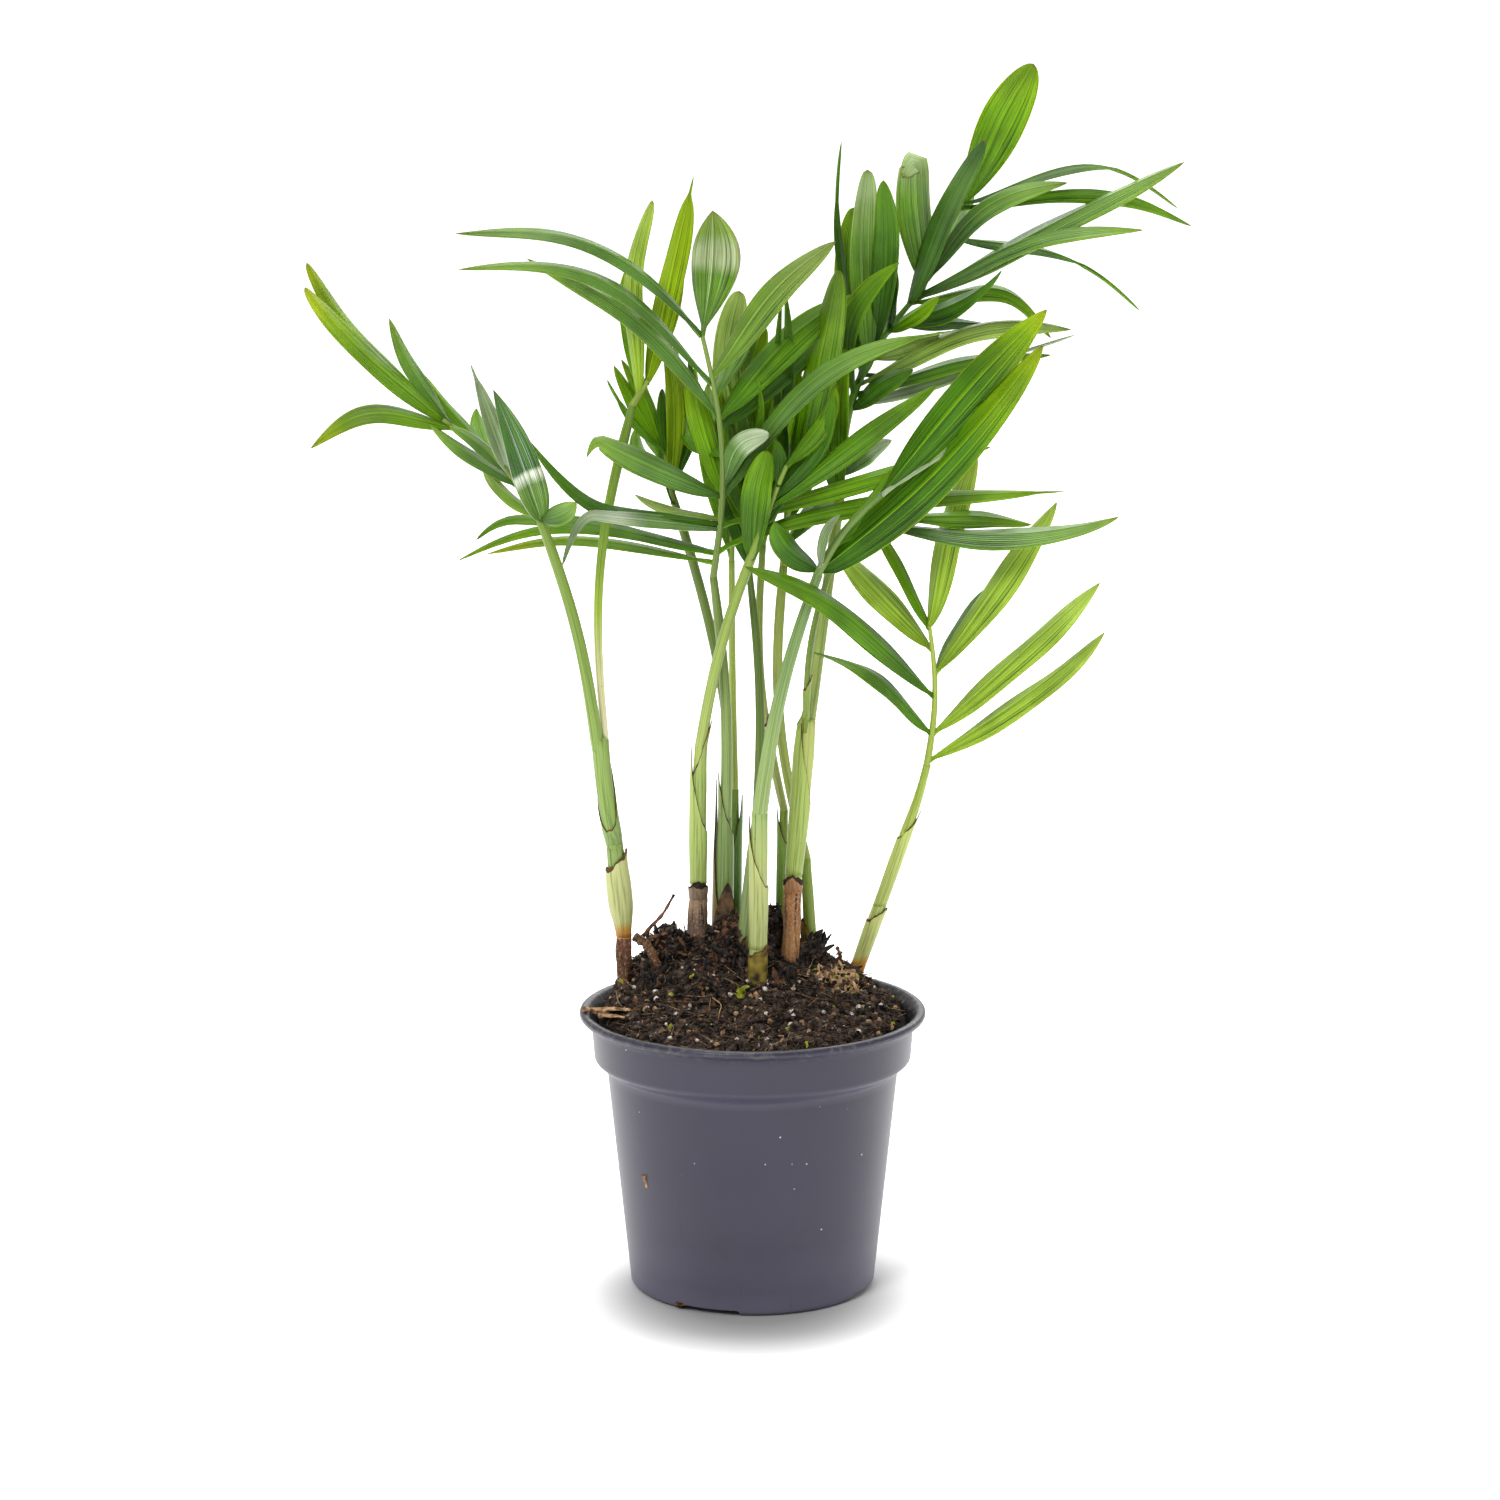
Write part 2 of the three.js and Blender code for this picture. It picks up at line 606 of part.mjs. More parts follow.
addPiece('pot', makePot(), 'pot', 0.45);
addPiece('soil', makeSoil(), 'soil', 0.95);

for (const [name, limb] of Object.entries(limbs)) {
  const solid = limbSolid(limb);
  remember(name, solid);
  addPiece(name, solid, limb.skin);
}
const husk = bladeSolid(HUSK);
remember('husk', husk);
addPiece('husk', husk, 'husk', 0.8);

for (const [name, rib] of Object.entries(ribs)) {
  remember(name, limbSolid(rib));
}
for (const [name, rib] of Object.entries(ribs)) {
  addPiece(name, growFrond(name, rib), 'frond', 0.5);
}

export default palm;
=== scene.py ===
"""A parlour palm in its nursery pot, dressed around its solids.

Sizes are in millimetres, +Z up, +X to the right, +Y to the back, from the centre of the
pot's flat underside. They become metres when a piece is made.
"""

import math

import bmesh
import bpy
import numpy as np
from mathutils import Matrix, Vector, noise


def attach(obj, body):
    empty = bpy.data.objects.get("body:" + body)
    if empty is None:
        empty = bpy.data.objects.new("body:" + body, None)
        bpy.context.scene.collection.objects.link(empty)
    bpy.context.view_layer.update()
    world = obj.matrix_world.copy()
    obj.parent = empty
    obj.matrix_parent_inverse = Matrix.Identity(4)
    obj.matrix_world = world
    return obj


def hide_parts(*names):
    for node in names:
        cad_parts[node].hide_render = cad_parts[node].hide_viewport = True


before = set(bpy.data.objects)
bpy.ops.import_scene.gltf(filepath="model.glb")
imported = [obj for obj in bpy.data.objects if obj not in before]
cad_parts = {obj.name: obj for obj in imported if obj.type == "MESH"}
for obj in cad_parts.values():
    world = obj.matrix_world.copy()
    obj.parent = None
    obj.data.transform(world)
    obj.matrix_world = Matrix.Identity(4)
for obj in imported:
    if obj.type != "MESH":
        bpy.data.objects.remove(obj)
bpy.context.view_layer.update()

MM = 0.001

# ---- Sizes ------------------------------------------------------------------------------

# The clear space between a part and what it stands on.
GAP = 0.3

POT = dict(
    foot_radius=42.7, shoulder_radius=50.8, shoulder_height=77,
    collar_radius=55.3, collar_height=81.8, flare=1.0,
    lip_radius=60.4, lip_height=98.5, lip_thick=2.9, wall=1.5, floor=3.6, sides=192,
)
NOTCH = dict(count=4, first_angle=-21, half_angle=14.5, height=1.8, depth=5)

# `clearance` is left between peat and pot. `lumps` are the height, width and seed of the
# peat's coarse and fine unevenness.
SOIL = dict(
    rim_level=93.5, plateau=3, mound=22, mound_centre=(-12, 28), mound_spread=(50, 32),
    clearance=0.1, lumps=[(2.6, 11, 3.0), (1.2, 3.6, 8.0)], rings=70, sides=180,
)

# A limb grows from its foot, or on the tip of the limb that `on` names, moved by `aside`.
# `reach` is how far it goes (across, away, up), `bow` how far its middle bows to the left,
# `thick` its diameter at foot and tip, and `neck` the narrower one that some start with.
# Its slot is the one for its kind, the first word of its name, unless it has another.
LIMB_SLOTS = {"cane": "cane", "petiole": "petiole", "foot": "husk"}
LIMBS = {
    "stilt_root": dict(foot=(-44, 10, 93), reach=(-1, 0, 27.7), bow=0.6, thick=(3.8, 5.4), slot="root"),
    "cane_left": dict(on="stilt_root", reach=(-3, -0.5, 32.5), thick=(8.8, 7), neck=5.2, slot="sheath"),
    "sheath_left": dict(on="cane_left", reach=(-4.9, -1, 38), bow=0.7, thick=(6, 6), slot="cane"),
    "petiole_left": dict(
        on="sheath_left", aside=(-1.2, -0.7), reach=(-18.2, -6, 77.2), bow=-2.6, thick=(4.4, 3.6),
    ),
    "petiole_upright": dict(
        on="sheath_left", aside=(1.7, 1.9), reach=(9.9, 10, 114.5), bow=6.5, thick=(2.6, 3.6),
    ),
    "cane_centre": dict(foot=(-10.5, 30, 101), reach=(1, -1, 59), thick=(7, 5)),
    "petiole_centre": dict(on="cane_centre", reach=(-4.1, -10, 87), bow=-2, thick=(4.2, 3.2)),
    "foot_near": dict(foot=(-19.5, 25, 101), reach=(0.3, 1, 35), thick=(7.6, 7)),
    "cane_near": dict(on="foot_near", reach=(0.9, -3, 50), bow=0.3, thick=(5.9, 4.8)),
    "petiole_near": dict(on="cane_near", reach=(20.9, -17, 77), bow=2.6, thick=(4, 3.4)),
    "petiole_rear": dict(foot=(-12, 46, 93), reach=(-16.5, -8, 182), bow=-12, thick=(4.2, 3.2)),
    "cane_pale": dict(foot=(-6.4, 39, 98), reach=(0.2, 0, 70), thick=(3.4, 3)),
    "petiole_pale": dict(on="cane_pale", reach=(-1.1, -2.5, 82), bow=0.3, thick=(2.6, 2.4)),
    "cane_slim": dict(foot=(-4.3, 17, 100), reach=(5.9, 0.5, 62), thick=(7, 4.4)),
    "petiole_slim": dict(on="cane_slim", reach=(-2.8, 4.5, 86.5), bow=-2.2, thick=(3.6, 2.6)),
    "cane_deep": dict(foot=(1.6, 3, 97), reach=(0.9, 0, 70), thick=(6.4, 6)),
    "petiole_deep": dict(on="cane_deep", reach=(19.8, -9, 85), bow=2.7, thick=(5.6, 3.6)),
    "cane_spear": dict(foot=(9.8, 35, 98), reach=(1.3, -1, 63.5), thick=(3.8, 3.2)),
    "petiole_spear": dict(on="cane_spear", reach=(-7.5, -4, 95), bow=4.4, thick=(2.9, 2.6)),
    "cane_broad": dict(foot=(21.5, 30, 97), reach=(-2.6, 0, 48), thick=(5.4, 3.8)),
    "petiole_broad": dict(on="cane_broad", reach=(-8.1, -2, 104.5), bow=5.5, thick=(3.4, 3.6)),
    "foot_tall": dict(foot=(13, 18, 100), reach=(1.3, 0, 40), thick=(6.4, 6)),
    "cane_tall": dict(on="foot_tall", reach=(5, 2, 56), thick=(5.9, 7.2)),
    "petiole_tall": dict(on="cane_tall", aside=(0.6, 1.5), reach=(10.4, 14.4, 75), thick=(4.4, 3.6)),
    "petiole_side": dict(on="cane_tall", aside=(-0.6, -2.2), reach=(9.2, -9.8, 58.4), bow=3, thick=(2.2, 2)),
    "cane_right": dict(foot=(32.5, 33.5, 90), reach=(21.5, -6.5, 65), thick=(5.6, 4.2), neck=4),
    "petiole_right": dict(on="cane_right", reach=(7, -8, 25.7), bow=-0.5, thick=(3.8, 2.7)),
}

NECK_LENGTH = 13  # how far up a limb its neck goes
TIP_LENGTH = 14  # how long a limb takes to narrow to what stands on its tip
SINK = 4.0  # how deep a limb is sunk in what carries it
DOME = 0.35  # how high a tip's dome is, as a share of the tip's radius
END_CAP = 0.02  # how far the point that closes a tube stands out
GNARL_SEED = 0.0

# A frond is a rib with its leaflets. A leaflet's row: where it leaves the rib, how far it
# reaches (across, away, up), its width, its bow, how many degrees it is turned on edge, and
# its tint. Some also have an outline, a twist on the way to the tip, a share at the foot that
# is a bare thread, a hook (where the tip bends, and how far across and up), or `late`, which
# puts the bow nearer to the tip the more it is over 1.
FRONDS = {
    "frond_left": dict(
        on="petiole_left", reach=(-32.8, -6, 35.2), bow=-3.8, thick=(3, 1.5),
        leaflets=[
            (1, -44.5, -4, 53.5, 8.5, 3.5, 42, "limetip", dict(outline="sword")),
            (1, -44.5, -12, 46, 9, 1.5, 38, "limetip", dict(outline="sword")),
            (0.9, -47, -20, -4.5, 8, -9, 38, "limetip"),
            (0.93, -21, 8, 35.5, 7, 1.5, 46, "cool"),
            (0.55, -25, 12, 27.5, 6.5, 1, 46, "bright"),
            (0.42, -11.5, -10, 37.5, 7.5, 0, 26, "grey", dict(outline="wedge", thread=0.08)),
            (0, -15, -14, 46.5, 12.5, -0.5, 22, "creased", dict(outline="wedge")),
            (0, 13, -20, 9, 8, -1.5, 22, "cool", dict(outline="oval")),
            (0.28, -30, -8, 22.5, 6.5, 0.5, 46, "cool"),
            (0.3, -16, 34, 22, 11, 2, 50, "green"),
            (0.02, -19, -5, 19, 6.5, 1.5, 46, "soft"),
            (0.4, -20, -6, 17, 6, -1.5, 46, "cool"),
        ],
    ),
    "frond_upright": dict(
        on="petiole_upright", reach=(5, 2, 8), thick=(2.6, 1.8),
        leaflets=[
            (0.4, 5, 6, 66.5, 8.5, 5, 36, "fresh", dict(outline="sword")),
            (1, 16, 10, 69.5, 10.5, 0, 32, "lime", dict(outline="sword", thread=0.09)),
            (0.9, 7.5, 18, 39, 7, -1, 40, "deep"),
            (0.7, 14, 14, 42.5, 5.5, -1.5, 40, "lime"),
            (0.6, -3, 34, 44, 11, 2, 50, "bright"),
        ],
    ),
    "frond_centre": dict(
        on="petiole_centre", reach=(-3.5, -11, 84.5), bow=-5, thick=(2.6, 1.5),
        leaflets=[
            (1, -83, -10, 35.5, 7.5, -14.5, 50, "cool", dict(late=1.0)),
            (1, 3.5, 6, 42, 19, -1.5, 12, "banded", dict(outline="kite")),
            (0.66, -65, -6, 55, 9.5, -8, 46, "cool", dict(late=1.0)),
            (0.8, -85.5, -16, 40.5, 7.5, -17, 50, "cool", dict(late=1.1)),
            (0.83, 42, -4, 46.5, 12, 4, 32, "soft"),
            (0.66, 47, 20, 40.5, 13.5, 4, 30, "green"),
            (0.62, 39.5, 26, 32.5, 10.5, 0.5, 30, "deep"),
            (0.33, -47, -18, 25, 10.5, 0.5, 32, "cool", dict(hook=(0.86, 1, -9))),
            (0.33, 79.5, -14, 59, 9.5, 14.5, 34, "cool", dict(thread=0.1, late=1.1)),
            (0.35, -11, 16, 38.5, 9.5, 0.5, 22, "lit", dict(outline="strap")),
            (0.2, -55.5, -24, 9.5, 6, -0.5, 44, "silver", dict(outline="sword", hook=(0.76, 2, -19))),
            (0.22, -62.5, -22, 16, 6.5, 3, 36, "deep", dict(hook=(0.6, -3, 17))),
            (0.1, -85.5, 18, 8.5, 6, -4.5, 44, "green", dict(outline="sword", hook=(0.82, 1, -7))),
            (0.1, -91.5, 26, -7, 5.5, -11, 50, "bright"),
            (0.06, -81.5, 34, -2.5, 5.5, -6.5, 50, "limetip"),
            (0.24, -30, 8, 7.5, 4.5, 2, 40, "pale"),
            (0.2, -29.5, 12, 3, 4, 1, 46, "lime"),
            (0.21, 92, -26, 31, 8.5, 1.5, 44, "bright", dict(late=0.8)),
            (0.1, 118, -34, 26, 8.5, 7.5, 44, "bright", dict(thread=0.06, late=0.75)),
            (0.38, 16, -11, 19, 9, 5, 24, "sheen", dict(outline="oval")),
            (0.5, -12, 40, 14, 10, 4, 46, "green"),
            (0.75, 14, 42, 20, 10, 2, 48, "bright"),
        ],
    ),
    "frond_near": dict(
        on="petiole_near", reach=(9, -4, 24.5), bow=0.5, thick=(2.8, 1.6),
        leaflets=[
            (-0.35, 5.5, -4, 38, 12, 1, 26, "green", dict(outline="strap")),
            (0.38, 57, -8, 43.5, 9.5, 0.5, 38, "green"),
            (1, 16.5, 8, 27, 8.5, -3, 36, "bright"),
            (0.5, 20.5, 2, 37, 9, -4, 34, "deep"),
            (0.7, -0.5, -2, 16, 6, -0.5, 34, "deep"),
            (0.1, 24, 4, 40, 9, 2, 32, "deep"),
        ],
    ),
    "frond_rear": dict(
        on="petiole_rear", reach=(-2.5, 2, 13), thick=(2.1, 1.5),
        leaflets=[
            (0.5, -16, 4, 38.5, 7, -2.5, 36, "bright"),
            (0.9, -17.5, 0, 31.5, 6.5, 0, 38, "bright"),
            (1, -19.5, -3, 25.5, 4.5, 1.5, 44, "green", dict(thread=0.2)),
            (0.02, -2.5, -4, 54, 8, -2.5, 30, "lime", dict(outline="sword")),
            (0.1, 3.5, 10, 41.5, 3.5, -2, 44, "pale"),
            (0, 6, 6, 44, 5.5, -4.5, 40, "deep", dict(outline="sword")),
            (0.6, -9, 38, 28, 11, 1, 50, "bright"),
            (0.4, 9, 32, 34, 11, 1, 50, "green"),
            (0.9, 3, 30, 36, 10, 1, 50, "green"),
            (0.3, -12, 30, 14, 9, 3, 46, "bright"),
            (-0.4, -4, 6, 40, 6, 1, 34, "deep", dict(outline="sword")),
        ],
    ),
    "frond_pale": dict(
        on="petiole_pale", reach=(0.8, 1, 40), thick=(2.1, 1.4),
        leaflets=[
            (1, 2, 6, 53.5, 12, 3.5, 16, "pale", dict(outline="strap")),
            (0.9, 10.5, 8, 45, 9, 1, 22, "lit", dict(outline="strap")),
            (0.8, -5, 5, 33.5, 6.5, -1, 26, "lit"),
            (0.4, -3.5, 3, 27, 7.5, 0, 26, "lit", dict(outline="strap")),
            (0.02, -12, 3, 58, 7.5, 0.5, 32, "bright"),
            (0.7, 15.5, 12, 43.5, 9.5, -1, 30, "bright", dict(outline="strap")),
            (0.5, 6, 36, 40, 11, 1, 50, "green"),
            (0.3, 10, 34, 26, 10, 2, 50, "green"),
            (0.7, -9, 36, 30, 10, 1, 50, "bright"),
        ],
    ),
    "frond_slim": dict(
        on="petiole_slim", reach=(1.2, 2, 36), thick=(2.2, 1.4),
        leaflets=[
            (1, -9, -6, 31, 5.5, -1.5, 36, "green", dict(outline="wedge")),
            (1, 2, -8, 31.5, 4, -2, 36, "green", dict(outline="wedge")),
            (0.4, -8, 2, 40, 9, 2, 44, "green"),
            (0.3, -9.8, 14, 48.7, 11, 1, 38, "bright"),
            (0.5, 17.4, 10, 56.8, 12, 1, 36, "bright"),
            (0.6, 9, 1, 36, 9, 1, 44, "green"),
            (0.05, -11, 8, 42, 8, 1, 34, "deep", dict(outline="sword")),
            (0.1, 12, 6, 40, 8, -1, 34, "green", dict(outline="sword")),
            (0.8, -6, 42, 34, 10, 2, 48, "green"),
        ],
    ),
    "frond_spear": dict(
        on="petiole_spear", reach=(5.4, 5, 24), thick=(2.2, 1.6),
        leaflets=[
            (1, 1, -14, 63.5, 4, 0.5, 42, "deep"),
            (0.95, 2.5, -14, 66.5, 5.5, -3, 38, "deep"),
            (0.3, 6.5, -10, 35.5, 8, -1, 30, "dark"),
            (0.2, -2.8, 14, 58, 12, 1, 36, "bright"),
            (0.6, 6, 44, 26, 10, 2, 50, "green"),
        ],
    ),
    "frond_broad": dict(
        on="petiole_broad", reach=(2.4, 2, 36), thick=(2.8, 1.8),
        leaflets=[
            (0.5, 17.5, -6, 85, 14, -0.5, 20, "litfoot", dict(outline="sword")),
            (0.9, 19, 4, 41.5, 9.5, 1, 30, "bright"),
            (0.4, 16, 28, 34, 11, 1, 50, "green"),
            (0.5, 8, 44, 32, 11, 2, 50, "bright"),
            (0.2, 22, 34, 12, 9, 4, 46, "green"),
        ],
    ),
    "frond_tall": dict(
        on="petiole_tall", reach=(29.6, 16, 72.6), bow=9, thick=(3.6, 1.8),
        leaflets=[
            (0.55, -7.5, 6, 80, 4.5, 4, 40, "deep", dict(thread=0.2)),
            (0.57, -3, 12, 55.5, 11.5, 3, 24, "bright", dict(outline="strap")),
            (0.6, -0.5, -4, 67.5, 11, 2, 22, "capped", dict(outline="strap")),
            (0.68, 1.5, -15, 59, 10.5, -2.5, 24, "deep", dict(outline="oval")),
            (0.45, 15, -18, 47.5, 9.5, 9, 36, "green", dict(late=1.0)),
            (0.78, 2, -8, 21, 8, 0, 50, "deep"),
            (0.9, 25.5, -16, 58.5, 10, 2.5, 36, "cooldeep", dict(outline="sword")),
            (0.96, 78, -6, 23, 11, 8, 65, "cool"),
            (0.93, 94, 0, 48, 13, 1.5, 58, "cool"),
            (0.8, 37, -14, 20, 12, -3, 35, "deep", dict(twist=50)),
            (0.76, 17, -22, 14, 8, 0, 50, "bright"),
            (0.8, 34, 8, -1, 8, 1, 60, "deep"),
            (0.92, 50, 13, -14, 10, 12, 58, "bright"),
            (0.62, 25, 6, 9, 9, 0, 56, "pale"),
            (0.5, 75, 10, 18, 12, 9, 58, "pale"),
            (0.38, 22, -8, 15, 10, 2, 46, "deep"),
            (0.5, 8, -14, 17, 6, 0, 50, "green"),
            (0.55, 23, 16, -4, 7, 0, 60, "deep"),
            (0.45, 70, 18, 12, 9, 4, 62, "green"),
            (0.4, 80, 27, 22, 9, 0, 62, "grey", dict(thread=0.3)),
            (0.1, 18, 4, 12, 9, 2, 36, "sheen"),
            (0.6, 8, 44, 22, 12, 2, 50, "green"),
            (0.3, -6, 36, 24, 11, 2, 50, "green"),
            (0.02, 2, -6, 52, 8, 1, 30, "bright", dict(outline="sword")),
            (0, -14, -4, 44, 8, -2, 30, "green", dict(outline="sword")),
        ],
    ),
    "frond_top": dict(
        on="frond_tall", reach=(13.8, 3, 28.8), bow=1, thick=(1.7, 1.2),
        leaflets=[
            (1.0, 24, 4, 48, 17, 1, 15, "bright", dict(outline="oval")),
            (0.04, -3.5, -6, 49, 14, 1.5, 18, "capped", dict(outline="strap", hook=(0.84, -5, -12))),
            (0.08, 48, -12, 34.5, 9, 9, 38, "cool", dict(late=1.1)),
            (1.0, 75, 2, -2, 9, 14.5, 74, "cool", dict(thread=0.3)),
            (0.95, 81, 5.5, -7, 11, 9.5, 66, "green"),
            (0.6, 70, 17.5, -28, 8, 8, 68, "green", dict(thread=0.35)),
            (0.4, 14, 38, 20, 12, 2, 50, "green"),
        ],
    ),
    "frond_deep": dict(
        on="petiole_deep", reach=(21, -8, 28), bow=2, thick=(3.2, 2),
        leaflets=[
            (1, 54.5, -10, 63.5, 16, 1.5, 22, "ripe"),
            (1.0, 54, -6, 51, 6, -3, 40, "grey", dict(twist=20)),
            (0.02, -15.4, -6, 17.9, 11, 2, 34, "deep"),
            (0.02, 73.5, -24, 79.5, 16, -4.5, 24, "ripe", dict(outline="broad", late=1.0)),
            (0.05, 6.5, -10, 20, 5, 2, 42, "grey"),
            (0.3, 19.5, 6, 25.5, 8.5, -2, 34, "green"),
        ],
    ),
    "frond_side": dict(
        on="petiole_side", reach=(22.4, -6, 16), bow=1.5, thick=(2.1, 1.5),
        leaflets=[
            (0.25, 26, -4, 11, 9, 0, 72, "deep"),
            (0.7, 82, -6, 4, 12, -4.5, 58, "cool"),
            (0.95, 47, 10, -4, 10, 2, 60, "bright"),
            (0.6, 30, 22, 24, 12, 3, 50, "green"),
        ],
    ),
    "frond_right": dict(
        on="petiole_right", reach=(0, -10, 50.5), bow=-2.3, thick=(2.6, 1.4),
        leaflets=[
            (0.02, 60.5, -8, 47, 12, -2, 58, "fresh"),
            (0.22, 57.5, -4, 54, 13, 0, 55, "fresh"),
            (0.66, 42, 6, 59, 13, 0, 44, "fresh"),
            (1, 15.5, 8, 59.5, 11, 2, 30, "fresh", dict(outline="sword")),
            (0.98, -20, 10, 37, 6, -0.5, 44, "bright", dict(outline="sword")),
            (0.83, -34.5, 10, 35, 11, -0.5, 34, "fresh"),
            (0.49, -66, -40, 52, 12, -6.5, 54, "green"),
            (0.22, -42, -24, 33, 11, -5.5, 56, "green", dict(twist=30)),
            (0.66, 24, 30, 28, 11, 2, 50, "green"),
        ],
    ),
}

# Colours up each limb, from its foot to its tip.
STALK_COLOURS = {
    "stilt_root": ["#5a4028", "#6a4a2c", "#5c3c2a", "#6a4430"],
    "cane_left": ["#b87420", "#c49438", "#b0bc74", "#b4c080", "#7f964f", "#7f964f"],
    "sheath_left": ["#7c9448", "#86a050", "#829a4c"],
    "petiole_left": ["#829c48", "#76903a", "#6c8430"],
    "petiole_upright": ["#dfd4b2", "#d8d4a0", "#98b03c", "#7c9830", "#6c8828", "#5c7820"],
    "cane_centre": ["#73884d", "#7f9458", "#879b61"],
    "petiole_centre": ["#92a867", "#869b58", "#70863e", "#657a36"],
    "foot_near": ["#7a6450", "#ab9272", "#8a7064", "#7c6658", "#9a8068", "#8a7058"],
    "cane_near": ["#b2c06b", "#b1bf67", "#a7b85d"],
    "petiole_near": ["#a6b562", "#96a953", "#82973e", "#798e35"],
    "petiole_rear": ["#607431", "#5c702a", "#61742e"],
    "cane_pale": ["#567825", "#61812d", "#77923f"],
    "petiole_pale": ["#a6b45f", "#a0b052", "#97aa4b"],
    "cane_slim": ["#788950", "#7e9057", "#7b8d4e"],
    "petiole_slim": ["#617531", "#546a28", "#4d6322"],
    "cane_deep": ["#63512a", "#9da95f", "#aab46c", "#a4b068", "#93a864"],
    "petiole_deep": ["#93a864", "#869e5c", "#718b4e", "#688344"],
    "cane_spear": ["#5f7e26", "#738c31", "#7e9439"],
    "petiole_spear": ["#969e58", "#a4a666", "#829140", "#748932"],
    "cane_broad": ["#9b964e", "#84993c", "#819b39"],
    "petiole_broad": ["#8d9d40", "#96a351", "#8c9949", "#7b8a37"],
    "foot_tall": ["#6b4430", "#9c6c48", "#b48658", "#a5784e", "#a5744c", "#8a6040"],
    "cane_tall": ["#9aab4d", "#a5b057", "#afb768"],
    "petiole_tall": ["#9ba862", "#8d9d51", "#7e8f43"],
    "petiole_side": ["#7a8f35", "#688029", "#5c7625"],
    "cane_right": ["#a8702c", "#c08c34", "#bc8c38", "#acb468", "#acc468", "#a8c460", "#a4c058"],
    "petiole_right": ["#a9b85a", "#98aa45", "#899d3a"],
}
RIB_COLOURS = {
    "frond_left": ["#718634", "#728837"], "frond_upright": ["#768934", "#81973a"],
    "frond_centre": ["#6a8038", "#687f36", "#72893b"], "frond_near": ["#798e37", "#708831"],
    "frond_rear": ["#637832", "#728831"], "frond_pale": ["#8b9d45", "#81973a"],
    "frond_slim": ["#5b7629", "#647e30"], "frond_spear": ["#728931", "#728931"],
    "frond_broad": ["#819238", "#708831"], "frond_tall": ["#6c8c2c", "#55802a", "#4c7424"],
    "frond_top": ["#536a2a", "#708831"], "frond_deep": ["#708842", "#56732e"],
    "frond_side": ["#56732e", "#56732e"], "frond_right": ["#8fa138", "#93a43f"],
}

# A sheath wraps a stack of limbs from `foot` up to a slanting rim, which is lowest at `low`
# and rises to a point at `high` on the side `faces`, in degrees to the right of the front.
# It stands `proud` of them, and its dark rim is up to `edge` wide. `foot_tones` are further
# colours at its foot. A charred sheath is burnt at its top, and a rotten one is all mottled.
SHEATHS = [
    dict(stem=["cane_left", "sheath_left"], foot=121.5, low=146, high=153.5, faces=75,
         proud=0.7, edge=1.8, colour="#b4b878", foot_tones=["#94602a", "#b08438"]),
    dict(stem=["sheath_left", "petiole_left"], foot=155, low=160, high=196, faces=165,
         proud=0.45, edge=0.5, colour="#7d9651"),
    dict(stem=["cane_near", "petiole_near"], foot=137, low=155, high=187.5, faces=-80,
         proud=0.6, edge=0.9, colour="#a4b661"),
    dict(stem=["cane_near", "petiole_near"], foot=150, low=176, high=197, faces=75,
         proud=0.2, edge=1.3, colour="#99ac5c"),
    dict(stem=["cane_centre", "petiole_centre"], foot=104, low=154, high=177, faces=-75,
         proud=0.5, edge=0.8, colour="#7d9455"),
    dict(stem=["cane_centre", "petiole_centre"], foot=99, low=103, high=174, faces=-105,
         proud=1.2, edge=1.8, colour="#807243"),
    dict(stem=["cane_pale", "petiole_pale"], foot=100, low=140, high=167, faces=70,
         proud=1.0, edge=1.2, colour="#587c2b"),
    dict(stem=["cane_deep", "petiole_deep"], foot=119, low=140.5, high=167, faces=-95,
         proud=0.45, edge=0.6, colour="#afb770"),
    dict(stem=["cane_deep"], foot=99, low=116.5, high=120.5, faces=60,
         proud=0.35, edge=1.0, rotten=True),
    dict(stem=["cane_spear", "petiole_spear"], foot=101, low=148, high=162.5, faces=-80,
         proud=0.6, edge=1.1, colour="#769438"),
    dict(stem=["petiole_spear"], foot=163, low=191, high=197, faces=60,
         proud=0.3, edge=2.2, colour="#aab26d"),
    dict(stem=["cane_tall", "petiole_tall"], foot=142, low=165, high=205, faces=-60,
         proud=0.5, edge=0.9, colour="#9db057"),
    dict(stem=["petiole_side"], foot=197.5, low=208, high=213.5, faces=75,
         proud=0.3, edge=1.2, colour="#859d42"),
    dict(stem=["cane_right", "petiole_right"], foot=128, low=153, high=163.5, faces=85,
         proud=0.5, edge=0.8, colour="#acb962"),
    dict(stem=["cane_right"], foot=103, low=122.5, high=127.5, faces=55,
         proud=0.6, edge=1.1, colour="#b4bc70", foot_tones=["#a8702c", "#b87c30", "#bc8c38"]),
    dict(stem=["foot_near", "cane_near"], foot=131.5, low=134.5, high=138.5, faces=5,
         proud=0.5, edge=3.4, colour="#7c6450", charred=True),
    dict(stem=["foot_tall", "cane_tall"], foot=135.5, low=138.5, high=142.5, faces=-5,
         proud=0.5, edge=3.4, colour="#96683f", charred=True),
    dict(stem=["cane_broad"], foot=100, low=112, high=124, faces=-40,
         proud=0.9, edge=1.2, colour="#917c3e"),
]

SHEATH_WALL = 0.35

# The dry sheath of an old leaf, which stands between the canes.
HUSK = dict(foot=(-12, 22, 102), reach=(3.4, 0, 36), wide=8)

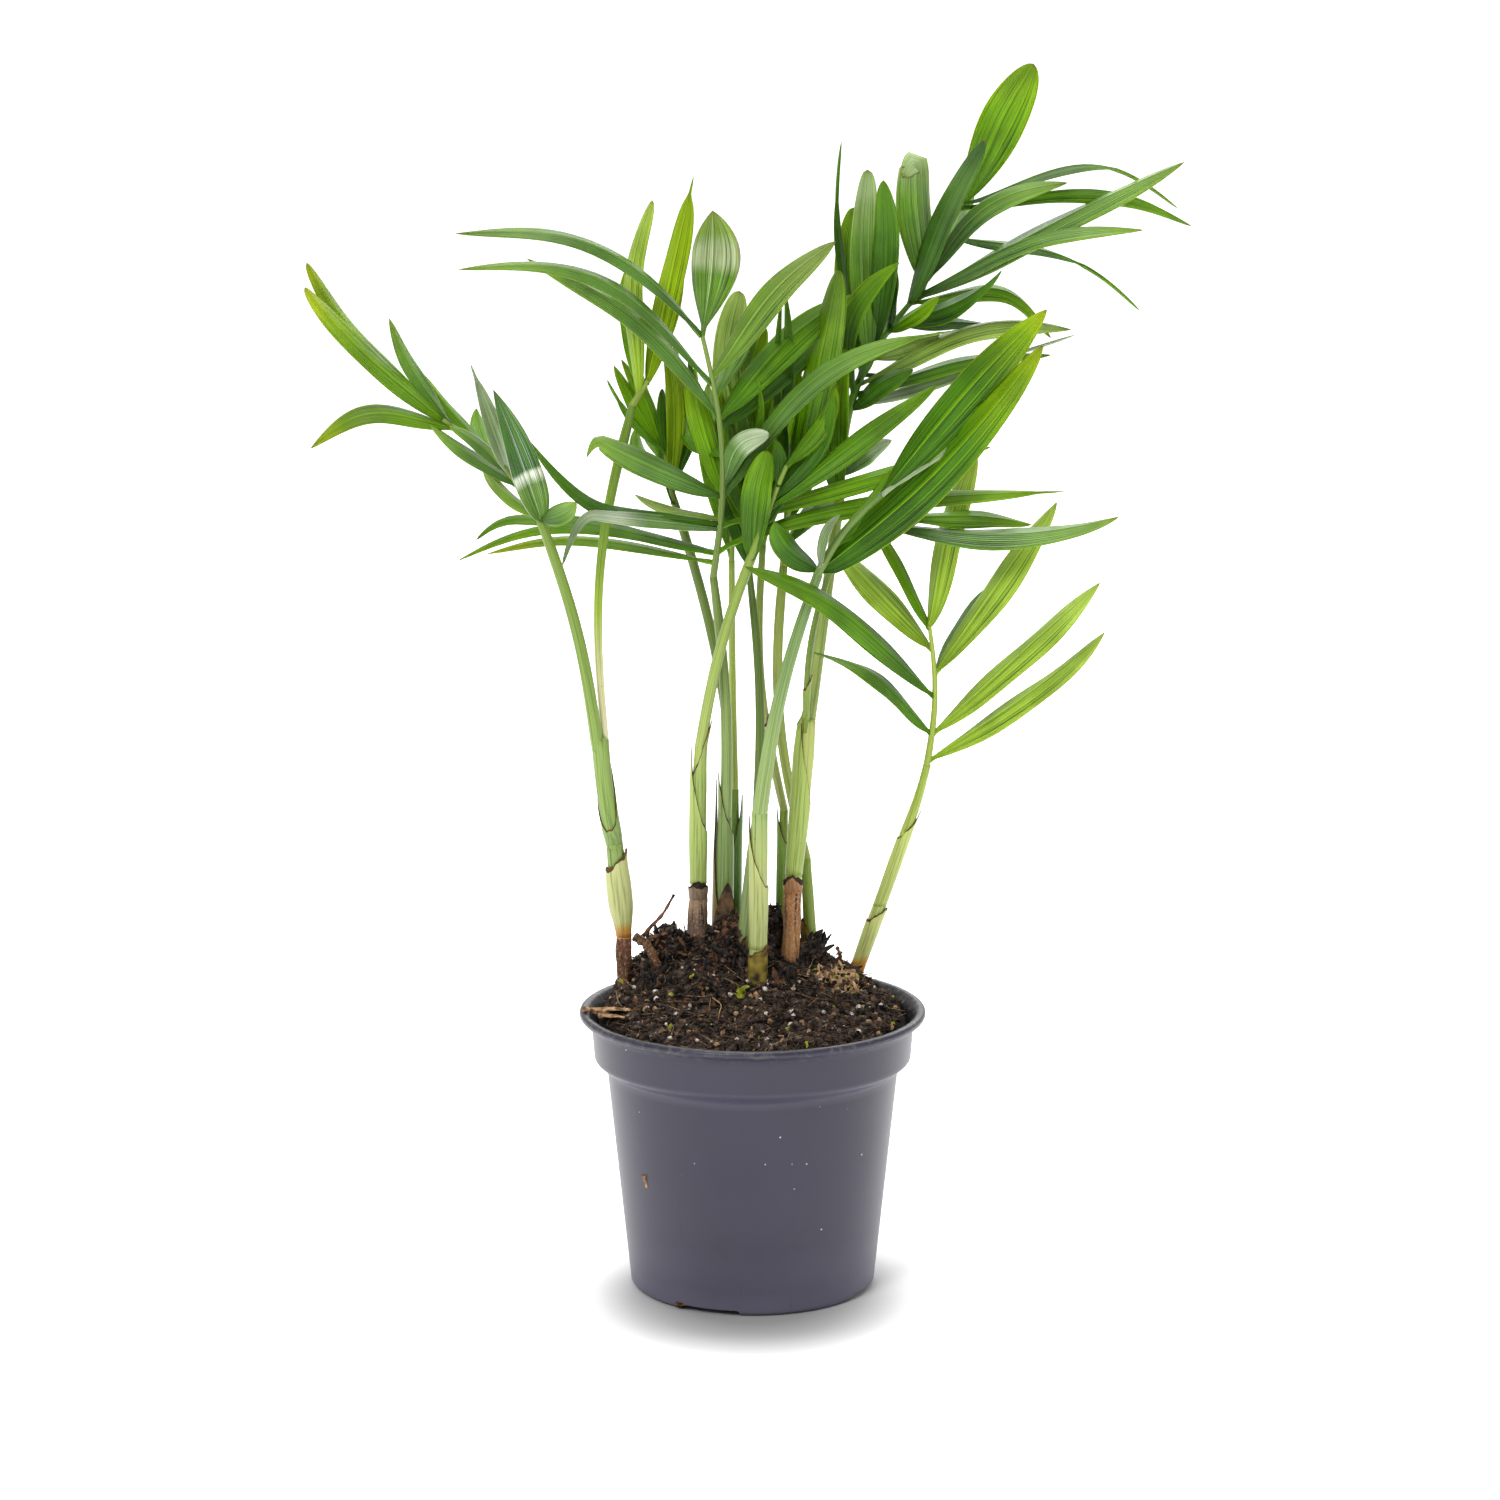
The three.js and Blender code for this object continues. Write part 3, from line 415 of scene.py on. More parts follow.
# Lumps of peat and root round the canes: their middles, sizes and what they are made of.
CLODS = [
    ((-30, 18, 115), (13, 12, 13), "peat"),
    ((-28, 16, 116), (7, 9, 11), "peat"),
    ((-33, 6, 106), (12, 10, 9), "root"),
    ((-10.5, 12, 112), (11, 12, 12), "peat"),
    ((-7, 20, 117), (12, 10, 14), "bark"),
    ((6, 24, 119), (9, 9, 17), "peat"),
    ((-2, 12, 110), (12, 10, 10), "peat"),
    ((19, 22, 110), (13, 11, 11), "peat"),
    ((26, 12, 104), (20, 12, 9), "tan"),
    ((31, 6, 101), (13, 9, 6), "tan"),
    ((32.5, 26, 102), (11, 9, 8), "peat"),
    ((-20, 12, 106.5), (12, 11, 8), "bark"),
    ((12, 8, 105), (10, 9, 8), "peat"),
]

# Roots and twigs: the points they pass, their diameters and what they are made of.
ROOTS = [
    dict(path=[(-41.5, 10, 121.5), (-37.5, 9, 119), (-34, 8, 113), (-33, 8, 104)],
         thick=(3.2, 3.4), tint="root"),
    dict(path=[(-45.5, 9, 120), (-46.4, 8, 115), (-45, 8, 109), (-43, 7, 100)],
         thick=(1.8, 2.4), tint="root"),
    dict(path=[(-40, 12, 119), (-36, 12, 124), (-31.5, 12, 129), (-27.5, 12, 136)],
         thick=(1.4, 0.9), knots=1.0, tint="bark"),
    dict(path=[(-38, 12, 119), (-34, 12, 121), (-29, 13, 122)], thick=(1.4, 0.7), knots=0.8, tint="bark"),
    dict(path=[(-30, 14, 116), (-27.5, 14, 120), (-26.5, 14, 125)], thick=(1.2, 0.3), tint="black"),
    dict(path=[(-24, 16, 118), (-23.6, 16, 121), (-24.2, 16, 124.5)], thick=(1.0, 0.4), tint="black"),
    dict(path=[(-22, 6, 106), (-17, 3, 104), (-12, 1, 103), (-9, 0, 101)], thick=(0.7, 0.4), tint="tan"),
    dict(path=[(-14, -8, 104), (-11, -12, 102.5), (-11.5, -18, 101), (-12, -24, 99.5)],
         thick=(0.5, 0.3), tint="tan"),
    dict(path=[(2, -6, 103), (5, -14, 101.5), (13, -20, 101)], thick=(0.5, 0.3), tint="root"),
    dict(path=[(14, 0, 104), (22, -6, 103.2), (31, -4, 102)], thick=(0.6, 0.4), tint="root"),
    dict(path=[(-30, -8, 103), (-22, -12, 103.4), (-14, -10, 103)], thick=(0.7, 0.5), tint="root"),
    dict(path=[(29, 28, 107), (31, 26, 110), (30, 25, 114)], thick=(1.8, 1.2), knots=0.9, tint="bark"),
    dict(path=[(24, 28, 112), (26.5, 28, 116), (28, 28, 118)], thick=(1.6, 0.6), tint="black"),
]

# Dry scraps: foot, reach, width, bow, turn, twist and what they are made of.
SHARDS = [
    ((-59, -6, 99.6), (20, -6, 1), 5, 0.6, 80, 20, "tan"),
    ((-56, -10, 99.8), (12, -8, -1), 4, 0.4, 70, 40, "bark"),
    ((-53, -14, 99.4), (9, -5, 0.4), 3, 0.5, 85, 0, "tan"),
    ((-5, -4, 105), (4, -4, 3), 4, 0.6, 60, 30, "moss"),
    ((-3, -5, 105), (-3, -5, 1), 4, 0.6, 70, 30, "moss"),
    ((1, -5, 105), (4, -6, -3), 2.4, -0.8, 60, 30, "tan"),
    ((20, 26, 112), (5, 1, 8), 4, 0.6, 20, 30, "black"),
    ((22, 27, 110), (3.5, 1, 9), 3, -0.6, 20, 0, "black"),
    ((-11, 8, 110), (-3, -3, 7), 3.2, 0.5, 20, 40, "bark"),
    ((-4, 16, 112), (2, -4, 9), 3, 0.4, 30, 40, "bark"),
    ((9, 2, 106), (-2, -3, 7), 3, 0.4, 20, 40, "bark"),
    ((-26.5, -34.4, 1.6), (4, -1.6, 0.6), 2.2, 0.3, 40, 40, "bark"),
    ((-37.4, -29.6, 46.5), (0.9, -0.3, -4.5), 1.2, 0.2, 20, 0, "tan"),
]

# A leaflet's outline: how fast it swells from its foot and tapers to its point.
OUTLINES = {
    "lance": (0.8, 0.75), "strap": (0.55, 0.42), "oval": (0.8, 0.58), "kite": (1.4, 0.9),
    "sword": (0.5, 0.5), "wedge": (0.5, 0.9), "broad": (0.4, 0.62),
}

# A blade's thickness and how much its midrib adds, how far it folds at the midrib in degrees,
# how far it arches from edge to edge, and how high its edges wave, both as a share of half
# its width. Where it would be narrower than a thread, it is a thread, nearly round.
BLADE = dict(thick=0.22, midrib=0.14, fold=(13, 27), arch=(-0.1, 0.12), wave=0.1)
THREAD = dict(foot=2.0, tip=1.1, round=0.42)

# The first random seed of each kind of blade.
LEAFLET_SEED = 100
SHARD_SEED = 700
HUSK_SEED = 900

# How much each kind of leaflet shines, and its colours from foot to tip. Some colours paint in sheen or
# light, as noted above them.
LEAF_TINTS = {
    "lime": (0.15, [(0, "#7c9c0b"), (0.5, "#96b411"), (1, "#8ca811")]),
    "limetip": (0.2, [(0, "#5f8c08"), (0.4, "#649004"), (0.75, "#80a404"), (1, "#a8b40b")]),
    "lit": (0.15, [(0, "#669804"), (0.5, "#74a406"), (1, "#8cb010")]),
    "litfoot": (0.2, [(0, "#629404"), (0.4, "#5c9006"), (0.7, "#6c9810"), (1, "#7ca018")]),
    "bright": (0.15, [(0, "#5c8a06"), (0.6, "#6c9c08"), (1, "#84a80c")]),
    "soft": (0.3, [(0, "#6c9423"), (0.5, "#78a029"), (0.85, "#94ac50"), (1, "#8ca049")]),
    "green": (0.2, [(0, "#4c7c08"), (0.6, "#5c8c08"), (1, "#74a00c")]),
    "deep": (0.22, [(0, "#3a6806"), (0.6, "#447406"), (1, "#5a8a0b")]),
    "dark": (0.15, [(0, "#264c03"), (1, "#346004")]),
    "ripe": (0.14, [(0, "#346404"), (0.62, "#427404"), (0.9, "#84a80a"), (1, "#a0b00c")]),
    "cool": (0.34, [(0, "#44701c"), (0.5, "#588426"), (0.85, "#78a033"), (1, "#88a830")]),
    "cooldeep": (0.3, [(0, "#4c7820"), (0.4, "#447416"), (0.7, "#547c2c"), (1, "#3f6c1c")]),
    # A paler green, partly painted sheen.
    "pale": (0.25, [(0, "#8cac40"), (0.5, "#98b450"), (1, "#a8c068")]),
    # Painted sheen: a whitish band across the upper blade.
    "banded": (0.3, [(0, "#64940b"), (0.5, "#689810"), (0.6, "#b8c49c"), (0.72, "#b0bc94"),
                     (0.84, "#7c9c34"), (1, "#7c902c")]),
    # Painted sheen: the top of the blade turns pale grey-green.
    "capped": (0.3, [(0, "#5c8c10"), (0.62, "#6c9c20"), (0.8, "#90ac60"), (0.9, "#a8bc8c"),
                     (1, "#98b070")]),
    # Painted highlight: a near-white line where the blade bends over.
    "creased": (0.2, [(0, "#5f8c24"), (0.28, "#6c9434"), (0.345, "#eef2ea"), (0.37, "#eef2ea"),
                      (0.4, "#44742c"), (1, "#4c7c24")]),
    # Painted sheen: the upper third of the blade is pale grey-green.
    "sheen": (0.5, [(0, "#3f6c14"), (0.5, "#5c8c1c"), (0.66, "#a8bc94"), (1, "#b4c4a4")]),
    # Painted sheen: a silvery band where the blade turns.
    "silver": (0.5, [(0, "#54801c"), (0.45, "#5c8c1c"), (0.62, "#c4d0b8"), (0.85, "#a0b490"),
                     (1, "#6c9040")]),
    # Painted light: the bright yellow-green of a blade lit through from behind.
    "fresh": (0.14, [(0, "#94b430"), (0.6, "#a0be44"), (1, "#b0c85c")]),
    # Painted sheen: whitish grey-green at the foot, pale at the tip.
    "grey": (0.6, [(0, "#c4d0bc"), (0.4, "#90aa70"), (1, "#a4b494")]),
}

# The camera looks down at `aim` by `pitch` degrees, and the floor is just under the pot.
CAMERA = dict(aim=(-0.9, 0, 190), pitch=11.3, metres_away=1.5, lens=104.4)
FLOOR_LEVEL = -0.2

# ---- Shapes -----------------------------------------------------------------------------

FRONT_TO_BACK = np.array([0.0, 1.0, 0.0])


def unit(vectors):
    """The same directions, each with a length of 1."""
    return vectors / np.linalg.norm(vectors, axis=-1, keepdims=True)


def ease(value, start, end):
    """A smooth climb from 0 at start to 1 at end."""
    t = np.clip((value - start) / (end - start), 0, 1)
    return t * t * (3 - 2 * t)


def degrees_from(angles, direction):
    """How far angles lie from a direction, the short way round, in degrees."""
    return np.abs((np.degrees(angles) - direction + 180) % 360 - 180)


def length_of(limb):
    """A limb's length, straight from foot to tip."""
    return math.dist((0, 0, 0), limb["reach"])


def midline(piece, s, late=1.0):
    """The middle of a limb or leaflet at s, from 0 at its foot to 1 at its tip."""
    across, away, up = piece["reach"]
    length = math.hypot(across, up)
    along = s if late == 1.0 else np.maximum(s, 0) ** late
    swell = piece.get("bow", 0) * np.sin(np.pi * along)
    x = piece["foot"][0] + across * s - up / length * swell
    y = piece["foot"][1] + away * s
    z = piece["foot"][2] + up * s + across / length * swell
    if "hook" in piece:
        start, hook_across, hook_up = piece["hook"]
        bent = np.clip((s - start) / (1 - start), 0, 1) ** 2
        x, z = x + hook_across * bent, z + hook_up * bent
    return np.stack([x, y, z], axis=-1)


def frame_at(piece, s, late):
    """The directions across a leaflet and through it."""
    step = 0.02
    ahead = midline(piece, np.minimum(s + step, 1), late)
    behind = midline(piece, np.maximum(s - step, 0), late)
    way = unit(ahead - behind)
    side = unit(np.cross(FRONT_TO_BACK, way))
    return side, np.cross(way, side)


def placed(limb, carriers):
    """Puts a limb or rib on the tip of the limb that carries it, GAP clear."""
    if "on" not in limb:
        return limb
    below, tip = midline(carriers[limb["on"]], np.array([0.96, 1.0]))
    dx, dy = limb.get("aside", (0, 0))
    return dict(limb, foot=(tip[0] + dx, tip[1] + dy, tip[2] + GAP), way_in=unit(tip - below))


class Skin:
    """Gathers grids of points into the faces of one piece."""

    def __init__(self):
        self.points, self.faces, self.finishes, self.places = [], [], [], []
        self.count = 0

    def grid(self, points, finish=0, place=None):
        """Adds a grid of points; finish is one number, or one for each row of faces."""
        rows, columns = points.shape[:2]
        index = self.count + np.arange(rows * columns).reshape(rows, columns)
        quads = np.stack(
            [index[:-1, :-1], index[:-1, 1:], index[1:, 1:], index[1:, :-1]], axis=-1
        )
        if place is None:
            v, u = np.meshgrid(
                np.linspace(0, 1, rows), np.linspace(0, 1, columns), indexing="ij"
            )
            place = np.stack([u, v], axis=-1)
        finishes = np.broadcast_to(np.reshape(finish, (-1, 1)), (rows - 1, columns - 1))
        self.points.append(points.reshape(-1, 3))
        self.faces.append(quads.reshape(-1, 4))
        self.finishes.append(finishes.reshape(-1))
        self.places.append(place.reshape(-1, 2))
        self.count += rows * columns

    def mesh(self, name, finishes):
        """The closed mesh, in metres, with its faces turned outwards."""
        points = np.concatenate(self.points) * MM
        faces = np.concatenate(self.faces)
        places = np.concatenate(self.places)
        mesh = bpy.data.meshes.new(name)
        mesh.from_pydata(points.tolist(), [], faces.tolist())
        layer = mesh.uv_layers.new(name="UVMap")
        layer.data.foreach_set("uv", places[faces.reshape(-1)].astype(np.float32).reshape(-1))
        for finish in finishes:
            mesh.materials.append(finish)
        mesh.polygons.foreach_set("material_index", np.concatenate(self.finishes).astype(np.int32))
        mesh.polygons.foreach_set("use_smooth", np.ones(len(faces), dtype=bool))
        close_seams(mesh)
        return mesh


def close_seams(mesh):
    """Merges points that meet, drops empty faces and turns the rest outwards."""
    work = bmesh.new()
    work.from_mesh(mesh)
    bmesh.ops.remove_doubles(work, verts=work.verts, dist=2e-6)
    bmesh.ops.dissolve_degenerate(work, edges=work.edges, dist=1e-7)
    bmesh.ops.recalc_face_normals(work, faces=work.faces)
    work.to_mesh(mesh)
    work.free()


def show(name, mesh, nodes=()):
    """Shows a mesh as a piece that rides with the pot, in place of the nodes."""
    piece = bpy.data.objects.new(name, mesh)
    bpy.context.scene.collection.objects.link(piece)
    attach(piece, "root")
    if nodes:
        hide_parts(*nodes)


# ---- Finishes ---------------------------------------------------------------------------


def colour(code):
    """A colour as the shader wants it, from its usual six-digit code."""
    parts = [int(code[k:k + 2], 16) / 255 for k in (1, 3, 5)]
    return (*[p / 12.92 if p <= 0.04045 else ((p + 0.055) / 1.055) ** 2.4 for p in parts], 1.0)


def shade(code, factor):
    """The same colour, lighter or darker."""
    parts = [min(255, round(int(code[k:k + 2], 16) * factor)) for k in (1, 3, 5)]
    return "#%02x%02x%02x" % tuple(parts)


def in_use(sockets, name=None):
    """The socket in use, as a node may hold one of a name for each kind of value."""
    return next(s for s in sockets if s.enabled and name in (None, s.name))


def add(tree, kind, inputs=None, **settings):
    """Adds a node; an input is a value, or the output that feeds it."""
    made = tree.nodes.new(kind)
    for key, value in settings.items():
        setattr(made, key, value)
    for key, value in (inputs or {}).items():
        socket = made.inputs[key] if isinstance(key, int) else in_use(made.inputs, key)
        if isinstance(value, bpy.types.NodeSocket):
            tree.links.new(value, socket)
        else:
            socket.default_value = value
    return made


def maths(tree, operation, first, second=0.0):
    """Sums with numbers."""
    return add(tree, "ShaderNodeMath", {0: first, 1: second}, operation=operation).outputs["Value"]


def vector_maths(tree, operation, first, second):
    """Sums with vectors; to scale one, the second value is a number."""
    second_input = "Scale" if operation == "SCALE" else 1
    made = add(tree, "ShaderNodeVectorMath", {0: first, second_input: second}, operation=operation)
    return made.outputs["Vector"]


def new_finish(name, roughness, **shader_inputs):
    """A material with its shader, ready for a colour and a bump."""
    material = bpy.data.materials.new(name)
    material.use_nodes = True
    tree = material.node_tree
    shader = tree.nodes["Principled BSDF"]
    shader.inputs["Roughness"].default_value = roughness
    for key, value in shader_inputs.items():
        shader.inputs[key.replace("_", " ")].default_value = value
    return material, tree, shader


def paint(tree, shader, tone, height, depth, strength):
    """Gives a shader its colour, and raises and sinks it by a depth in millimetres."""
    tree.links.new(tone, shader.inputs["Base Color"])
    bump = add(
        tree, "ShaderNodeBump", {"Height": height, "Strength": strength, "Distance": depth * MM}
    )
    tree.links.new(bump.outputs["Normal"], shader.inputs["Normal"])


def ramp(tree, factor, stops):
    """A run of colours along a factor, from (place, colour code) pairs."""
    made = add(tree, "ShaderNodeValToRGB", {"Fac": factor})
    band = made.color_ramp
    while len(band.elements) < len(stops):
        band.elements.new(0.5)
    for element, (place, code) in zip(band.elements, stops):
        element.position = place
        element.color = colour(code)
    return made.outputs["Color"]


def even_ramp(tree, factor, colours):
    """Colours spaced evenly along a factor."""
    return ramp(tree, factor, [(k / (len(colours) - 1), code) for k, code in enumerate(colours)])


def blend(tree, amount, below, above, mode="MIX"):
    """Lays one colour over another."""
    made = add(
        tree, "ShaderNodeMix", {"Factor": amount, "A": below, "B": above},
        data_type="RGBA", blend_type=mode,
    )
    return in_use(made.outputs)


def darkened(tree, base, pattern, stops, amount=1.0):
    """Darkens a colour by the run of tones that a pattern picks."""
    return blend(tree, amount, base, ramp(tree, pattern, stops), "MULTIPLY")


def covered(tree, base, pattern, stops, code):
    """Covers a colour with another, most where the pattern picks a light grey."""
    return blend(tree, ramp(tree, pattern, stops), base, colour(code))


def place_on_surface(tree, across=1.0, along=1.0):
    """The piece's own map, stretched."""
    source = add(tree, "ShaderNodeUVMap", uv_map="UVMap")
    return add(
        tree, "ShaderNodeMapping", {"Vector": source.outputs["UV"], "Scale": (across, along, 1)}
    ).outputs["Vector"]


def across_and_along(tree):
    """The two directions of the piece's own map, each from 0 to 1."""
    split = add(tree, "ShaderNodeSeparateXYZ", {"Vector": place_on_surface(tree)})
    return split.outputs["X"], split.outputs["Y"]


def place_in_space(tree, scale):
    """The place on the piece in metres, times a scale."""
    source = add(tree, "ShaderNodeTexCoord")
    return add(
        tree, "ShaderNodeMapping", {"Vector": source.outputs["Object"], "Scale": (scale,) * 3}
    ).outputs["Vector"]


def grain(tree, place, detail=2.0, roughness=0.5):
    """A cloudy pattern, about one cloud to a unit of place."""
    return add(
        tree, "ShaderNodeTexNoise",
        {"Vector": place, "Scale": 1.0, "Detail": detail, "Roughness": roughness},
    ).outputs["Fac"]


def leaf_finish(name, shine, stops):
    """Fine veins along the blade, a paler midrib and edge, and a dry point."""
    material, tree, shader = new_finish(
        name, 0.33, Subsurface_Weight=0.25, Subsurface_Radius=(1.0, 1.0, 0.3),
        Subsurface_Scale=0.6 * MM, Specular_IOR_Level=shine,
    )
    across, along = across_and_along(tree)
    off_rib = maths(tree, "ABSOLUTE", maths(tree, "SUBTRACT", across, 0.5))
    dark, light = shade(stops[0][1], 0.55), shade(stops[len(stops) // 2][1], 1.35)
    drying = [(place * 0.98, code) for place, code in stops]
    length = ramp(tree, along, [*drying, (1, "#8a7e40")])
    streaks = grain(tree, place_on_surface(tree, 26, 0.9), 4.0, 0.6)
    lined = darkened(tree, length, streaks, [(0.36, "#7c8660"), (0.47, "#e8ecd8"), (0.55, "#ffffff")])
    cloud = grain(tree, place_in_space(tree, 45))
    clouded = darkened(tree, lined, cloud, [(0.38, "#98a878"), (0.58, "#ffffff")], 0.6)
    veins = grain(tree, place_on_surface(tree, 80, 0.7))
    grooved = covered(tree, clouded, veins, [(0.33, "#b0b0b0"), (0.42, "#000000")], dark)
    veined = covered(tree, grooved, veins, [(0.58, "#000000"), (0.68, "#a0a0a0")], light)
    ribbed = covered(tree, veined, off_rib, [
        (0, "#c0c0c0"), (0.014, "#000000"), (0.474, "#000000"), (0.492, "#c8c8c8"),
    ], light)
    waves = maths(tree, "SINE", maths(tree, "MULTIPLY", across, 110.0))
    ridges = maths(tree, "ADD", waves, maths(tree, "MULTIPLY", streaks, 3.0))
    paint(tree, shader, ribbed, ridges, 0.07, 0.8)
    return material


def stalk_finish(name, colours):
    """A smooth stalk, streaked along its length, with a few dark flecks."""
    material, tree, shader = new_finish(name, 0.38, Specular_IOR_Level=0.3)
    length = even_ramp(tree, across_and_along(tree)[1], colours)
    streaks = grain(tree, place_on_surface(tree, 30, 1.2), 3.0)
    lined = darkened(tree, length, streaks, [(0.34, "#93a07c"), (0.5, "#ffffff")], 0.8)
    flecks = grain(tree, place_in_space(tree, 700), 1.0)
    spotted = covered(tree, lined, flecks, [(0.74, "#000000"), (0.8, "#a0a0a0")], "#4a3b26")
    paint(tree, shader, spotted, streaks, 0.12, 0.6)
    return material


def bark_finish(name, colours, charred=False):
    """Dry bark, split along its length and dusted grey; a charred top is dark and ragged."""
    material, tree, shader = new_finish(name, 0.8, Specular_IOR_Level=0.2)
    along = across_and_along(tree)[1]
    length = even_ramp(tree, along, colours)
    splits = grain(tree, place_on_surface(tree, 18, 2.0), 4.0, 0.6)
    split = darkened(tree, length, splits, [
        (0.36, "#4a4038"), (0.47, "#e8e0d8"), (0.6, "#ffffff"), (0.68, "#b8aca0"),
    ])
    dust = grain(tree, place_in_space(tree, 1300), 3.0)
    tone = covered(tree, split, dust, [(0.52, "#000000"), (0.66, "#989898")], "#cbbca6")
    if charred:
        ragged = maths(tree, "ADD", along, maths(tree, "MULTIPLY", splits, 0.16))
        tone = covered(tree, tone, ragged, [(0.97, "#000000"), (1.0, "#ffffff")], "#1b1513")
    paint(tree, shader, tone, splits, 0.6, 1.0)
    return material


def pot_finish(name):
    """Satin moulded plastic with dust specks, faint scratches and a soiled lip, painted lighter low down and
    with a painted highlight round the step.
    """
    material, tree, shader = new_finish(name, 0.38, IOR=1.45)
    cloud = grain(tree, place_in_space(tree, 22), 3.0)
    # Heights are in tenths of a metre here, so 0.93 is 93 mm up.
    height = add(tree, "ShaderNodeSeparateXYZ", {"Vector": place_in_space(tree, 10)}).outputs["Z"]
    # Painted light: lighter towards the foot and darkest at the collar, evening out how the lamps light the
    # pot.
    painted_lighter_foot = ramp(tree, height, [
        (0.02, "#646173"), (0.09, "#504d5e"), (0.24, "#3b3848"), (0.5, "#312e40"), (0.8, "#2c293a"),
    ])
    body = darkened(tree, painted_lighter_foot, cloud, [(0.3, "#ececec"), (0.7, "#ffffff")])
    # Painted highlight: a pale band round the moulded step, about 75 to 82 mm up.
    painted_step_highlight = covered(tree, body, height, [
        (0.75, "#000000"), (0.785, "#7c7c7c"), (0.81, "#7c7c7c"), (0.825, "#000000"),
    ], "#787688")
    scuffs = grain(tree, place_on_surface(tree, 260, 9))
    scuffed = covered(tree, painted_step_highlight, scuffs, [(0.68, "#000000"), (0.76, "#909090")], "#24232b")
    soiled = ramp(tree, height, [(0.93, "#000000"), (0.955, "#ffffff")])
    crust = grain(tree, place_in_space(tree, 420), 4.0)
    dirt = darkened(tree, soiled, crust, [(0.5, "#000000"), (0.62, "#c0c0c0")])
    lipped = blend(tree, dirt, scuffed, colour("#55524d"))
    specks = add(tree, "ShaderNodeTexVoronoi", {"Vector": place_in_space(tree, 210), "Scale": 1.0})
    near = ramp(tree, specks.outputs["Distance"], [(0.04, "#ffffff"), (0.075, "#000000")])
    chance = add(tree, "ShaderNodeSeparateXYZ", {"Vector": specks.outputs["Color"]}).outputs["X"]
    dust = darkened(tree, near, chance, [(0.78, "#000000"), (0.9, "#ffffff")])
    dusted = blend(tree, dust, lipped, colour("#c9c7cc"))
    paint(tree, shader, dusted, grain(tree, place_in_space(tree, 260), 3.0), 0.04, 0.35)
    return material


def shade_and_dust_finish(name):
    """The inside of the pot, painted near black for the shade in it, satin and dusted with peat."""
    material, tree, shader = new_finish(name, 0.35, Specular_IOR_Level=0.4)
    crust = grain(tree, place_in_space(tree, 380), 4.0)
    tone = ramp(tree, crust, [(0.42, "#1b1c1f"), (0.55, "#26272a"), (0.66, "#4c4a48"), (0.72, "#77736e")])
    paint(tree, shader, tone, crust, 0.3, 0.8)
    return material


def soil_finish(name, dark="#0d0a09", light="#3c312b", scale=500):
    """Crumbly dark peat."""
    material, tree, shader = new_finish(name, 0.95, Specular_IOR_Level=0.15)
    crumbs = grain(tree, place_in_space(tree, scale), 5.0, 0.65)
    tone = ramp(tree, crumbs, [(0.4, dark), (0.56, shade(light, 0.6)), (0.7, light)])
    paint(tree, shader, tone, crumbs, 0.8, 1.0)
    return material


def grain_finish(name, low, high, roughness=0.8, scale=900):
    """A mottled finish for small bits: peat crumbs, perlite, fibres, moss."""
    material, tree, shader = new_finish(name, roughness, Specular_IOR_Level=0.25)
    mottle = grain(tree, place_in_space(tree, scale))
    tone = ramp(tree, mottle, [(0.35, low), (0.65, high)])
    paint(tree, shader, tone, mottle, 0.15, 0.6)
    return material


# ---- Geometry Nodes ---------------------------------------------------------------------


def new_tree(name, inputs):
    """A Geometry Nodes tree with named inputs and one output. Returns it and its inputs."""
    tree = bpy.data.node_groups.new(name, "GeometryNodeTree")
    for label, kind in inputs:
        tree.interface.new_socket(label, in_out="INPUT", socket_type="NodeSocket" + kind)
    tree.interface.new_socket("Geometry", in_out="OUTPUT", socket_type="NodeSocketGeometry")
    return tree, tree.nodes.new("NodeGroupInput").outputs


def finish_tree(tree, geometry, finish):
    """Ends a tree: real geometry in its finish."""
    real = add(tree, "GeometryNodeRealizeInstances", {"Geometry": geometry})
    painted = add(tree, "GeometryNodeSetMaterial", {"Geometry": real.outputs["Geometry"], "Material": finish})
    out = tree.nodes.new("NodeGroupOutput")
    tree.links.new(painted.outputs["Geometry"], out.inputs["Geometry"])
    return tree


def grown(name, mesh, tree, values):
    """What a tree grows from a mesh, as a plain mesh."""
    start = bpy.data.objects.new(name, mesh)
    bpy.context.scene.collection.objects.link(start)
    grower = start.modifiers.new("grow", "NODES")
    grower.node_group = tree
    for item in tree.interface.items_tree:
        if item.in_out == "INPUT" and item.name in values:
            grower[item.identifier] = values[item.name]
    graph = bpy.context.evaluated_depsgraph_get()
    plain = bpy.data.meshes.new_from_object(start.evaluated_get(graph), depsgraph=graph)
    bpy.data.objects.remove(start)
    plain.name = name
    return plain


def captured(tree, geometry, kind, value):
    """Keeps a value on geometry. Returns the geometry and the kept value."""
    keep = tree.nodes.new("GeometryNodeCaptureAttribute")
    keep.capture_items.new(kind, "Value")
    tree.links.new(geometry, keep.inputs["Geometry"])
    tree.links.new(value, keep.inputs["Value"])
    return keep.outputs["Geometry"], keep.outputs["Value"]


